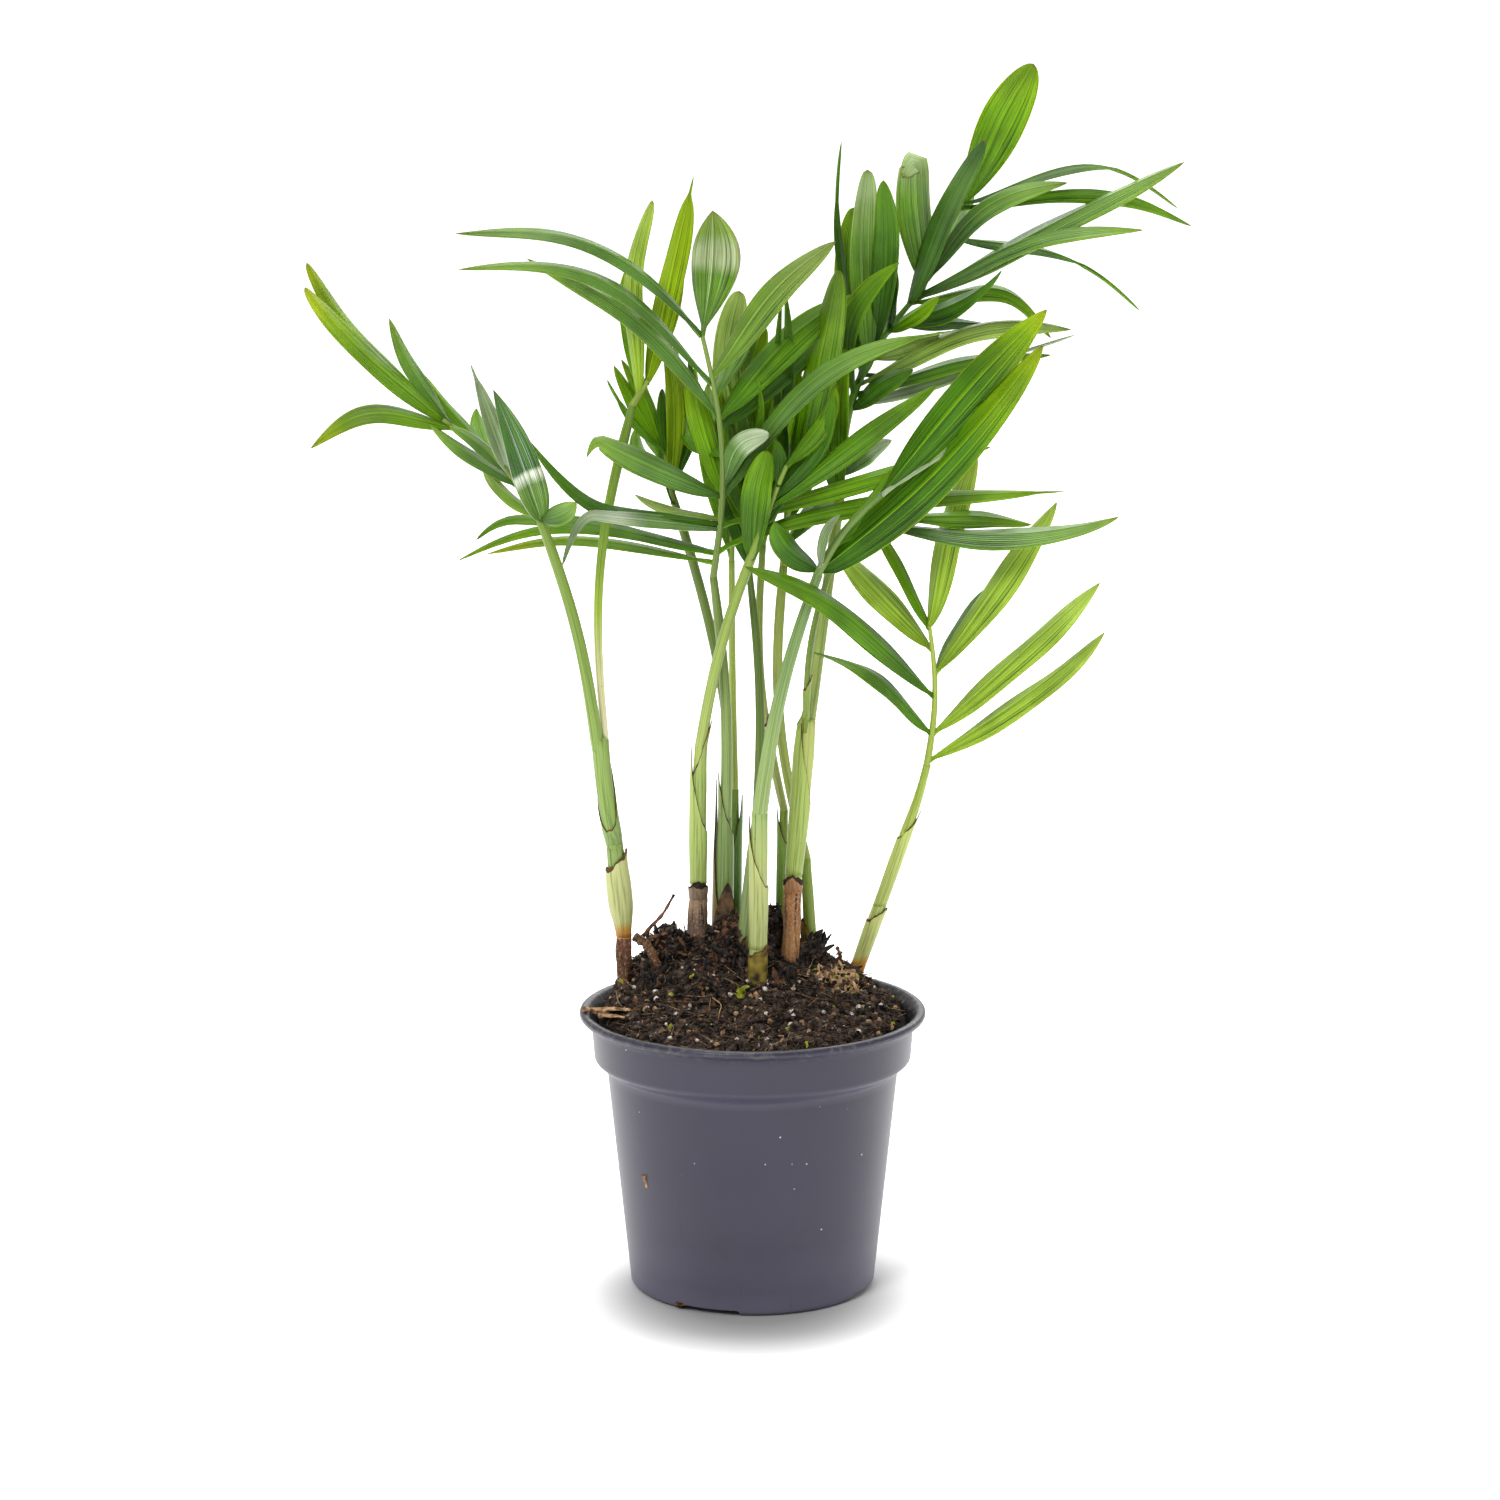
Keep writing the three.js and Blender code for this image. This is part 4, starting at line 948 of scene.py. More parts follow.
def tube_tree():
    """Sweeps a round, ridged and gnarled tube along paths that carry their thickness."""
    tree, given = new_tree("tube_along_path", [
        ("Path", "Geometry"), ("Sides", "Int"), ("Ridge", "Float"), ("Ridges", "Float"),
        ("Gnarl", "Float"), ("Gnarls per Metre", "Vector"), ("Seed", "Float"), ("Finish", "Material"),
    ])
    place = add(tree, "GeometryNodeInputPosition").outputs["Position"]
    factor = add(tree, "GeometryNodeSplineParameter").outputs["Factor"]
    curve = add(tree, "GeometryNodeMeshToCurve", {"Mesh": given["Path"]})
    thick = add(tree, "GeometryNodeInputNamedAttribute", {"Name": "thick"}, data_type="FLOAT")
    path, along_path = captured(tree, curve.outputs["Curve"], "FLOAT", factor)
    path, centre = captured(tree, path, "VECTOR", place)
    arc = add(tree, "GeometryNodeCurveArc", {
        "Resolution": maths(tree, "ADD", given["Sides"], 1.0), "Radius": 1.0, "Start Angle": 0.0,
        "Sweep Angle": 2 * math.pi,
    })
    ring, around = captured(tree, arc.outputs["Curve"], "FLOAT", factor)
    turn = maths(tree, "MULTIPLY", maths(tree, "MULTIPLY", around, 2 * math.pi), given["Ridges"])
    swell = maths(tree, "ADD", maths(tree, "MULTIPLY", maths(tree, "COSINE", turn), given["Ridge"]), 1.0)
    ridged = add(tree, "GeometryNodeSetPosition", {
        "Geometry": ring, "Position": vector_maths(tree, "SCALE", place, swell),
    })
    tube = add(tree, "GeometryNodeCurveToMesh", {
        "Curve": path, "Profile Curve": ridged.outputs["Geometry"], "Scale": thick.outputs["Attribute"],
    })
    spots = vector_maths(tree, "MULTIPLY", place, given["Gnarls per Metre"])
    moved = vector_maths(tree, "ADD", spots, given["Seed"])
    lumpy = maths(tree, "SUBTRACT", grain(tree, moved, 3.0), 0.5)
    out = vector_maths(tree, "SUBTRACT", place, centre)
    gnarled = add(tree, "GeometryNodeSetPosition", {
        "Geometry": tube.outputs["Mesh"],
        "Offset": vector_maths(tree, "SCALE", out, maths(tree, "MULTIPLY", lumpy, given["Gnarl"])),
    })
    smooth = add(tree, "GeometryNodeSetShadeSmooth", {"Geometry": gnarled.outputs["Geometry"]})
    flat = add(tree, "ShaderNodeCombineXYZ", {"X": around, "Y": along_path})
    laid = add(tree, "GeometryNodeStoreNamedAttribute", {
        "Geometry": smooth.outputs["Geometry"], "Name": "UVMap", "Value": flat.outputs["Vector"],
    }, data_type="FLOAT2", domain="CORNER")
    return finish_tree(tree, laid.outputs["Geometry"], given["Finish"])


def scatter_tree():
    """Strews grains over a surface: how many, how large and how they lie are inputs."""
    tree, given = new_tree("strewn_grains", [
        ("Surface", "Geometry"), ("Grain", "Object"), ("Per Square Metre", "Float"),
        ("Smallest", "Float"), ("Largest", "Float"), ("Tumble", "Vector"), ("Lift", "Float"),
        ("Seed", "Int"), ("Finish", "Material"),
    ])
    spread = add(tree, "GeometryNodeDistributePointsOnFaces", {
        "Mesh": given["Surface"], "Density": given["Per Square Metre"], "Seed": given["Seed"],
    })
    lift = add(tree, "ShaderNodeCombineXYZ", {"Z": given["Lift"]})
    raised = add(tree, "GeometryNodeSetPosition", {
        "Geometry": spread.outputs["Points"], "Offset": lift.outputs["Vector"],
    })
    back = vector_maths(tree, "MULTIPLY", given["Tumble"], (-1.0, -1.0, -1.0))
    turn = add(tree, "FunctionNodeRandomValue", {
        "Min": back, "Max": given["Tumble"], "Seed": given["Seed"],
    }, data_type="FLOAT_VECTOR")
    size = add(tree, "FunctionNodeRandomValue", {
        "Min": given["Smallest"], "Max": given["Largest"], "Seed": given["Seed"],
    }, data_type="FLOAT")
    one = add(tree, "GeometryNodeObjectInfo", {"Object": given["Grain"]})
    strewn = add(tree, "GeometryNodeInstanceOnPoints", {
        "Points": raised.outputs["Geometry"], "Instance": one.outputs["Geometry"],
        "Rotation": in_use(turn.outputs), "Scale": in_use(size.outputs),
    })
    return finish_tree(tree, strewn.outputs["Instances"], given["Finish"])


tubes = tube_tree()
strewing = scatter_tree()


def swept(name, paths, sides, finish=None, ridge=0.0, ridges=9, gnarl=0.0,
          gnarls=(300.0, 300.0, 120.0)):
    """Tubes along paths, each a row of centres and radii, closed at both ends."""
    points, edges, thick = [], [], []
    for centres, radii in paths:
        first, last = unit(centres[:1] - centres[1:2]), unit(centres[-1:] - centres[-2:-1])
        start = sum(len(p) for p in points)
        ends = centres[:1] + END_CAP * first, centres[-1:] + END_CAP * last
        points.append(np.concatenate([ends[0], centres, ends[1]]))
        thick.append(np.concatenate([[0], radii, [0]]))
        edges += [(k, k + 1) for k in range(start, start + len(points[-1]) - 1)]
    guide = bpy.data.meshes.new(name)
    guide.from_pydata((np.concatenate(points) * MM).tolist(), edges, [])
    guide.attributes.new("thick", "FLOAT", "POINT").data.foreach_set("value", np.concatenate(thick) * MM)
    mesh = grown(name, guide, tubes, {
        "Sides": sides, "Ridge": float(ridge), "Ridges": float(ridges), "Gnarl": float(gnarl),
        "Gnarls per Metre": gnarls, "Seed": GNARL_SEED, "Finish": finish,
    })
    close_seams(mesh)
    return mesh


# ---- Pot --------------------------------------------------------------------------------


def body_radius(z):
    """The outside radius of the pot's body, which widens from its foot to its shoulder."""
    return POT["foot_radius"] + (POT["shoulder_radius"] - POT["foot_radius"]) * z / POT["shoulder_height"]


def pot_profile():
    """The pot's section, up its outside and over its lip, and then down its inside."""
    shoulder, top = POT["shoulder_radius"], POT["shoulder_height"]
    collar, collar_height = POT["collar_radius"], POT["collar_height"]
    lip, lip_height, bead = POT["lip_radius"], POT["lip_height"], POT["lip_thick"] / 2
    wall, floor = POT["wall"], POT["floor"]
    inset = POT["foot_radius"] - NOTCH["depth"]
    foot = [(0, 0), (20, 0), (inset - 0.1, 0), (inset + 0.1, 0), (40, 0), (41.3, 0), (42.1, 0.3), (42.6, 0.8)]
    side = [(body_radius(z), z) for z in (1.3, NOTCH["height"], 2.0, 3.0, *np.linspace(8, top - 1.2, 16))]
    step = [
        (shoulder + (collar - shoulder) * (0.15 * t + 0.85 * ease(t, 0.1, 1.0)),
         top + t * (collar_height - top))
        for t in np.linspace(0, 1, 12)
    ]
    under_lip = lip_height - POT["lip_thick"] - 0.9
    band = [
        (collar + POT["flare"] * t, collar_height + (under_lip - collar_height) * t)
        for t in np.linspace(0.1, 1, 6)
    ]
    roll = [
        (lip - bead + bead * math.cos(angle), lip_height - bead + bead * math.sin(angle))
        for angle in np.radians(np.linspace(-100, 95, 14))
    ]
    inner = [
        (lip - 2.6, lip_height - 0.1), (lip - 3.3, lip_height - 0.9), (lip - 4.2, lip_height - 2.4),
        (collar + POT["flare"] - wall, lip_height - 5), (collar - wall, collar_height),
        (shoulder - wall, top + 1), (body_radius(40) - wall, 40), (body_radius(floor) - wall, floor),
        (0, floor),
    ]
    return np.array(foot + side + step + band + roll), np.array(inner)


def make_pot():
    """The pot in one piece, turned from its profile, with shallow notches under its foot."""
    outside, inside = pot_profile()
    profile = np.concatenate([outside, inside])
    angle = np.linspace(0, 2 * np.pi, POT["sides"] + 1)
    notch = np.zeros_like(angle)
    for k in range(NOTCH["count"]):
        off = degrees_from(angle, NOTCH["first_angle"] + 360 / NOTCH["count"] * k)
        notch = np.maximum(notch, 1 - ease(off, NOTCH["half_angle"] - 0.7, NOTCH["half_angle"] + 0.7))
    radius = profile[:, 0][:, None] + 0 * angle
    height = profile[:, 1][:, None] + 0 * angle
    lifted = (height < NOTCH["height"]) & (radius > POT["foot_radius"] - NOTCH["depth"])
    height = np.where(lifted, np.maximum(height, notch * NOTCH["height"]), height)
    grid = np.stack([radius * np.sin(angle), -radius * np.cos(angle), height], axis=-1)
    row = np.arange(len(profile) - 1)
    # Painted shade: the top of the lip and the inside wall take the near-black finish.
    soiled = (row > len(outside) - 4) & (row < len(profile) - 2)
    skin = Skin()
    skin.grid(grid, np.where(soiled, 1, 0))
    finishes = [pot_finish("pot_plastic"), shade_and_dust_finish("shade_and_dust_plastic")]
    show("nursery_pot", skin.mesh("nursery_pot", finishes), ["pot"])


# ---- Soil -------------------------------------------------------------------------------


def soil_radius(z):
    """The peat's radius at a height, a little less than the pot's inside."""
    upward = (z - POT["shoulder_height"]) / (SOIL["rim_level"] - POT["shoulder_height"])
    spread = POT["shoulder_radius"] + (POT["collar_radius"] - POT["shoulder_radius"]) * upward
    return (body_radius(z) if upward < 0 else spread) - POT["wall"] - SOIL["clearance"]


def rough(x, y, size, seed, octaves=4):
    """Rounded unevenness of a given size, from -1 to 1."""
    points = [Vector((a / size, b / size, seed)) for a, b in zip(np.ravel(x), np.ravel(y))]
    return np.array([noise.fractal(p, 0.8, 2.1, octaves) for p in points]).reshape(np.shape(x))


def soil_top(x, y):
    """The height of the peat: a plateau with a mound round the canes."""
    edge = np.maximum(1 - (np.hypot(x, y) / soil_radius(SOIL["rim_level"])) ** 16, 0)
    (cx, cy), (wide, deep) = SOIL["mound_centre"], SOIL["mound_spread"]
    mound = SOIL["mound"] * np.exp(-((x - cx) / wide) ** 2 - ((y - cy) / deep) ** 2)
    return SOIL["rim_level"] + edge * (SOIL["plateau"] + mound)


def make_soil():
    """The peat, from the pot's floor to its crumbly top. Returns its top for scattering."""
    rim = soil_radius(SOIL["rim_level"])
    angle = np.linspace(0, 2 * np.pi, SOIL["sides"] + 1)
    reach = np.linspace(1, 0, SOIL["rings"])
    x = rim * reach[:, None] * np.cos(angle)
    y = rim * reach[:, None] * np.sin(angle)
    x[:, -1], y[:, -1] = x[:, 0], y[:, 0]
    edge = np.minimum(1, (1 - reach[:, None]) * 9)
    lumps = sum(height * rough(x, y, size, seed) for height, size, seed in SOIL["lumps"])
    top = np.stack([x, y, soil_top(x, y) + edge * lumps - 0.4 * (1 - edge)], axis=-1)
    top[-1] = top[-1].mean(axis=0)
    floor = POT["floor"] + GAP
    wall = []
    for z in (floor, POT["shoulder_height"], SOIL["rim_level"] - 3):
        r = soil_radius(z)
        wall.append(np.stack([r * np.cos(angle), r * np.sin(angle), np.full_like(angle, z)], axis=-1))
    middle = np.broadcast_to(np.array([0, 0, floor]), wall[0].shape)
    skin = Skin()
    skin.grid(np.array([middle, *wall, top[0]]))
    skin.grid(top)
    show("peat", skin.mesh("peat", [soil_finish("peat")]), ["soil"])
    cover = Skin()
    cover.grid(top[3:-1])
    return cover.mesh("peat_top", [])


def lump(name, seed, flat=1.0, uneven=0.35):
    """A small rough stone with a few faces, about one millimetre across."""
    work = bmesh.new()
    bmesh.ops.create_icosphere(work, subdivisions=1, radius=0.5 * MM)
    for vertex in work.verts:
        push = 1 + uneven * noise.noise(vertex.co.normalized() * 1.7 + Vector((seed, 0, 0)))
        vertex.co *= push
        vertex.co.z *= flat
    mesh = bpy.data.meshes.new(name)
    work.to_mesh(mesh)
    work.free()
    return bpy.data.objects.new(name, mesh)


def strand(name, seed, length=6.0, thick=0.22, bend=1.6):
    """A short bent fibre."""
    rng = np.random.default_rng(seed)
    s = np.linspace(0, 1, 6)
    path = np.stack([
        (s - 0.5) * length,
        bend * np.sin(s * 3.0 + rng.uniform(0, 3)) * 0.6,
        bend * np.sin(s * 2.2 + rng.uniform(0, 3)) * 0.5,
    ], axis=-1)
    radii = thick * 0.5 * (1 - 0.6 * np.abs(2 * s - 1) ** 2)
    return bpy.data.objects.new(name, swept(name, [(path, radii)], 4))


def smooth_path(points, count):
    """A smooth path through a few points."""
    points = np.array(points, dtype=float)
    ends = np.concatenate([2 * points[:1] - points[1:2], points, 2 * points[-1:] - points[-2:-1]])
    t = np.linspace(0, len(points) - 1, count)
    k = np.minimum(t.astype(int), len(points) - 2)
    f = (t - k)[:, None]
    a, b, c, d = (ends[k + n] for n in range(4))
    square, cube = (2 * a - 5 * b + 4 * c - d) * f ** 2, (3 * b - a - 3 * c + d) * f ** 3
    return 0.5 * (2 * b + (c - a) * f + square + cube)


def root_path(path, thick, knots, seed):
    """The centres and radii of a root or twig, with small knots."""
    count = max(8, 6 * len(path))
    t = np.linspace(0, 1, count)
    radii = (thick[0] + (thick[1] - thick[0]) * t) / 2
    radii = radii * (1 + 0.16 * np.sin(t * 37 + seed) + knots * np.maximum(np.sin(t * 29 + seed), 0) ** 8)
    return smooth_path(path, count), radii


def make_roots():
    """The loose roots and twigs, in one piece for each thing they are made of."""
    for tint in sorted({root["tint"] for root in ROOTS}):
        paths = [
            root_path(root["path"], root["thick"], root.get("knots", 0.0), 1.7 * number)
            for number, root in enumerate(ROOTS) if root["tint"] == tint
        ]
        name = "loose_roots_" + tint
        mesh = swept(name, paths, 12, bit_finishes[tint], gnarl=1.1, gnarls=(500.0, 500.0, 300.0))
        show(name, mesh)


def make_clods():
    """Ragged lumps of peat and root round the canes. Returns them for scattering."""
    skin, cover, dry = Skin(), Skin(), Skin()
    tints = sorted({clod[-1] for clod in CLODS})
    across, down = np.linspace(0, 2 * np.pi, 61), np.linspace(0, np.pi, 34)
    x = np.sin(down)[:, None] * np.cos(across)
    y = np.sin(down)[:, None] * np.sin(across)
    z = np.cos(down)[:, None] + 0 * across
    for number, (middle, size, tint) in enumerate(CLODS):
        torn = rough(x * 2 + z, y * 2 - z, 1.1, 3.0 * number, 5) + 0.6 * rough(x + 5, z - y, 0.45, number)
        torn[:, -1] = torn[:, 0]
        torn[[0, -1]] = torn[[0, -1]].mean(axis=1, keepdims=True)
        grid = np.stack([x * size[0], y * size[1], z * size[2]], axis=-1) / 2
        clod = np.array(middle) + grid * (1 + 0.42 * torn)[..., None]
        skin.grid(clod, tints.index(tint))
        (dry if tint == "tan" else cover).grid(clod)
    show("peat_clods", skin.mesh("peat_clods", [bit_finishes[tint] for tint in tints]))
    return cover.mesh("clod_cover", []), dry.mesh("dry_cover", [])


def strew(name, surface, bit, finish, density, smallest, largest, seed, tumble, lift=0.0):
    """Strews one kind of bit over the peat and shows it as a plain mesh."""
    show(name, grown(name, surface.copy(), strewing, {
        "Grain": bit, "Per Square Metre": float(density), "Smallest": float(smallest),
        "Largest": float(largest), "Tumble": tumble, "Lift": lift * MM, "Seed": seed,
        "Finish": finish,
    }))


# ---- Stalks and sheaths -----------------------------------------------------------------


def limb_radius(limb, s):
    """The radius at s; near its tip a limb narrows to what stands on it."""
    foot, tip = limb["thick"]
    radius = (foot + (tip - foot) * np.clip(s, 0, 1)) / 2
    if "neck" in limb:
        radius = radius - (foot - limb["neck"]) / 2 * (1 - ease(s * length_of(limb), 0, NECK_LENGTH))
    if "carries" in limb:
        above = min(limb["carries"], tip) / 2 + 0.08
        radius = radius + (above - radius) * ease(s, 1 - TIP_LENGTH / length_of(limb), 1)
    return radius


def limb_path(limb, steps=28):
    """A limb's centres and radii: it starts sunk in what carries it and ends in a low dome."""
    s = np.linspace(0, 1, steps)
    radii = limb_radius(limb, s)
    centres = midline(limb, s)
    if "on" in limb:
        centres = np.concatenate([centres[:1] - SINK * limb["way_in"], centres])
        radii = np.append(0.85 * radii[0], radii)
    last = radii[-1]
    for k in (0.55, 0.9):
        top = midline(limb, np.array([1 + DOME * last * k / length_of(limb)]))
        centres = np.concatenate([centres, top])
        radii = np.append(radii, last * math.sqrt(1 - k * k))
    return centres, radii


def make_limb(name, limb):
    """A dry foot or root in bark, or a green cane or stalk."""
    slot = limb.get("slot") or LIMB_SLOTS[name.split("_")[0]]
    if slot in ("husk", "root"):
        finish = bark_finish(name + "_bark", STALK_COLOURS[name], charred=slot == "husk")
        mesh = swept(name, [limb_path(limb, 40)], 28, finish, ridge=0.05, gnarl=0.6)
    else:
        finish = stalk_finish(name + "_skin", STALK_COLOURS[name])
        mesh = swept(name, [limb_path(limb)], 20, finish, ridge=0.02, ridges=10)
    show(name + "_stalk", mesh, [name])


def stem_at(stem, heights):
    """The middle and radius, at each height, of a stack of limbs."""
    s = np.linspace(0, 1, 30)
    middles = np.concatenate([midline(limbs[name], s) for name in stem])
    radii = np.concatenate([limb_radius(limbs[name], s) for name in stem])
    order = np.argsort(middles[:, 2])
    z = middles[order, 2]
    x = np.interp(heights, z, middles[order, 0])
    y = np.interp(heights, z, middles[order, 1])
    return x, y, np.interp(heights, z, radii[order])


def sheath_finishes(number, sheath):
    """The finishes of a sheath and of its rim."""
    if sheath.get("rotten"):
        return [rotten_finish, edge_finish]
    tone, charred = sheath["colour"], sheath.get("charred")
    top = shade(tone, 0.35 if charred else 1.02)
    tones = [*sheath.get("foot_tones", []), *4 * [shade(tone, 0.97)], *4 * [tone], top]
    return [stalk_finish("sheath_%d_skin" % number, tones), charred_finish if charred else edge_finish]


def make_sheath(number, sheath):
    """A thin shell round a stem, with a dark rim that slants up to a point."""
    columns, rows = 48, 16
    foot, low, high = sheath["foot"], sheath["low"], sheath["high"]
    angle = np.linspace(0, 2 * np.pi, columns + 1)
    off = degrees_from(angle, sheath["faces"]) / 180
    rim = low + (high - low) * (1 - off) ** 2.0
    rim = rim + 0.3 * np.sin(5 * angle + number) + 0.2 * np.sin(11 * angle + 2 * number)
    edge = np.minimum(sheath["edge"], (rim - foot) * 0.4)
    edge = edge * (0.65 + 0.35 * np.sin(3 * angle + 4 * number))
    body = foot + (rim - edge - foot) * np.linspace(0, 1, rows)[:, None]
    heights = np.concatenate([body, (rim - edge * 0.5)[None], rim[None]])

    def shell(heights, proud):
        """Rings of points round the stem, so far proud of it."""
        x, y, radius = stem_at(sheath["stem"], heights)
        radius = radius + proud
        return np.stack([x + radius * np.sin(angle), y - radius * np.cos(angle), heights], axis=-1)

    lean = 0.5 * ease(heights, low, high + 1)
    proud = sheath["proud"] * (0.25 + 0.75 * ease(heights, foot, low)) + lean
    outer = shell(heights, proud)
    inner = shell(heights, proud - SHEATH_WALL)
    inner[0] = shell(heights[:1], -0.3)[0]
    skin = Skin()
    finishes = np.array([0] * (rows - 1) + [1, 1])
    skin.grid(outer, finishes)
    skin.grid(inner, finishes)
    skin.grid(np.array([outer[-1], inner[-1]]), 1)
    skin.grid(np.array([outer[0], inner[0]]), 0)
    name = "sheath_%d" % number
    show(name, skin.mesh(name, sheath_finishes(number, sheath)))


# ---- Fronds -----------------------------------------------------------------------------


def blade_width(s, outline):
    """How wide a blade is at s, as a share of its greatest width."""
    swell, taper = OUTLINES[outline]
    widest = swell / (swell + taper)
    s = np.clip(s, 0, 1)
    return (s / widest) ** swell * ((1 - s) / (1 - widest)) ** taper


def blade(skin, foot, reach, wide, bow, turn, seed, finish,
          twist=0, outline="lance", thread=0.0, hook=None, late=1.25):
    """One blade: folded at its midrib, a little wavy, with a long point."""
    rng = np.random.default_rng(seed)
    piece = dict(foot=foot, reach=reach, bow=bow)
    if hook:
        piece["hook"] = hook
    s = np.concatenate([np.linspace(0, 0.9, 24), np.linspace(0.92, 1, 7)])
    centre = midline(piece, s, late)
    side, through = frame_at(piece, s, late)
    turned = np.radians((turn + twist * s) * (-1 if reach[0] > 0 else 1))
    across = side * np.cos(turned)[:, None] + through * np.sin(turned)[:, None]
    out = through * np.cos(turned)[:, None] - side * np.sin(turned)[:, None]
    if out[:, 2].mean() < 0:
        out = -out
    width = wide * blade_width(s / (1 - thread), outline)
    least = (THREAD["foot"] + (THREAD["tip"] - THREAD["foot"]) * s) * (1 - 0.85 * s ** 24)
    half = np.maximum(width, least)[:, None] / 2
    u = np.array([-1, -0.8, -0.55, -0.3, -0.1, 0, 0.1, 0.3, 0.55, 0.8, 1])
    fold = math.radians(rng.uniform(*BLADE["fold"]))
    arch = rng.uniform(*BLADE["arch"])
    waves = BLADE["wave"] * np.sin(2 * np.pi * (1.6 * s[:, None] + 0.4 * np.sign(u) + rng.uniform(0, 1)))
    lift = -np.abs(u) * math.sin(fold) + arch * (1 - u ** 2) + waves * np.abs(u) ** 3
    flat = centre[:, None] + across[:, None] * (half * u * math.cos(fold))[..., None]
    middle = flat + out[:, None] * (half * lift)[..., None]
    round_off = np.sqrt(np.maximum(1 - u ** 2, 0))
    midrib = np.where(np.abs(u) < 0.05, BLADE["midrib"], 0)
    thick = (BLADE["thick"] * round_off + midrib) * (1.15 - 0.6 * s)[:, None]
    bare = np.where(width < least, THREAD["round"] * least, 0)[:, None]
    thick = np.maximum(thick, bare * round_off)[..., None]
    thick[-1] = 0
    above = middle + out[:, None] * thick
    below = middle - out[:, None] * (thick * 1.5)
    place = np.stack(np.broadcast_arrays((u / 2 + 0.5)[None, :], s[:, None]), axis=-1)
    skin.grid(above, finish, place)
    skin.grid(below, finish, place)
    for k in (0, -1):
        skin.grid(np.array([above[k], below[k]]), finish, np.array([place[k], place[k]]))


def joined(name, meshes):
    """Several meshes as one; their finishes are listed in the last."""
    work = bmesh.new()
    for mesh in meshes:
        work.from_mesh(mesh)
    whole = meshes[-1].copy()
    whole.name = name
    work.to_mesh(whole)
    work.free()
    return whole


def make_frond(name, rib, seed):
    """A rib with its leaflets, each leaflet in its own tint."""
    tints = sorted({row[7] for row in rib["leaflets"]})
    finishes = [stalk_finish(name + "_rib", RIB_COLOURS[name]), *[leaf_finishes[t] for t in tints]]
    skin = Skin()
    for number, (at, across, away, up, wide, bow, turn, tint, *extras) in enumerate(rib["leaflets"]):
        foot = midline(rib, np.array(at))
        blade(skin, foot, (across, away, up), wide, bow, turn, seed + number, 1 + tints.index(tint),
              **(extras[0] if extras else {}))
    stem = swept(name + "_stem", [limb_path(rib, 24)], 12, finishes[0])
    show(name + "_leaves", joined(name, [stem, skin.mesh(name, finishes)]), [name])


def make_husk():
    """The blade of the dry husk."""
    skin = Skin()
    blade(skin, HUSK["foot"], HUSK["reach"], HUSK["wide"], 0, 0, HUSK_SEED, 0)
    finish = grain_finish("husk_dry", "#2c2018", "#6a5238", scale=300)
    show("husk_blade", skin.mesh("husk", [finish]), ["husk"])


def make_shards():
    """Dry scraps of leaf and sheath that lie on the peat or stand in it."""
    skin = Skin()
    tints = sorted({shard[-1] for shard in SHARDS})
    for number, (foot, reach, wide, bow, turn, twist, tint) in enumerate(SHARDS):
        blade(skin, foot, reach, wide, bow, turn, SHARD_SEED + number, tints.index(tint), twist)
    show("dry_scraps", skin.mesh("dry_scraps", [bit_finishes[tint] for tint in tints]))


# ---- The palm ---------------------------------------------------------------------------

limbs, ribs = {}, {}
for name, limb in LIMBS.items():
    limbs[name] = placed(limb, limbs)
for name, rib in FRONDS.items():
    ribs[name] = placed(rib, {**limbs, **ribs})
for limb in [*limbs.values(), *ribs.values()]:
    carrier = {**limbs, **ribs}.get(limb.get("on"))
    if carrier:
        spread = 2 * abs(limb.get("aside", (0, 0))[0]) + limb["thick"][0]
        carrier["carries"] = max(spread, carrier.get("carries", 0))

charred_finish = grain_finish("sheath_char", "#16100e", "#3a2a22", scale=500)
rotten_finish = grain_finish("sheath_rotten", "#2c2214", "#a08c38", scale=160)
edge_finish = grain_finish("sheath_edge", "#3a2a1c", "#6a4c2c", scale=600)
leaf_finishes = {
    tint: leaf_finish("leaf_" + tint, *codes) for tint, codes in LEAF_TINTS.items()
}
bit_finishes = {
    "peat": soil_finish("clod_peat"),
    "black": grain_finish("scrap_black", "#0e0c0c", "#2c2624", scale=500),
    "bark": grain_finish("scrap_bark", "#2e1e16", "#7c5438", scale=500),
    "tan": grain_finish("scrap_tan", "#644830", "#c8a47a", scale=450),
    "moss": grain_finish("scrap_moss", "#6c7418", "#b4b43c", 0.6, 350),
    "root": bark_finish("root_bark", ["#5a4028", "#6e4c30", "#4a3020"]),
}
crumb_finish = soil_finish("peat_crumb", "#060403", "#78665a", 300)
perlite_finish = grain_finish("perlite_white", "#a89c92", "#efe8e2", 0.9)
dark_fibre = grain_finish("fibre_dark", "#120d0a", "#6e5846")
hair_finish = grain_finish("root_hair_tan", "#6a5038", "#b49a78")

make_pot()
peat_top = make_soil()
clod_cover, dry_cover = make_clods()
make_roots()
make_shards()

crumb = lump("crumb", 1.0)
flake = lump("flake", 4.0, flat=0.35, uneven=0.6)
fibre = strand("fibre", 2)
root_hair = strand("root_hair", 5, length=9.0, thick=0.3, bend=2.4)
scrap = strand("scrap", 8, length=5.0, thick=1.3, bend=1.2)

# How far a bit may turn about each axis, either way, in radians.
level = (0.4, 0.5, 3.1)
upright = (1.1, 1.1, 3.1)
loose = (3.1, 3.1, 3.1)

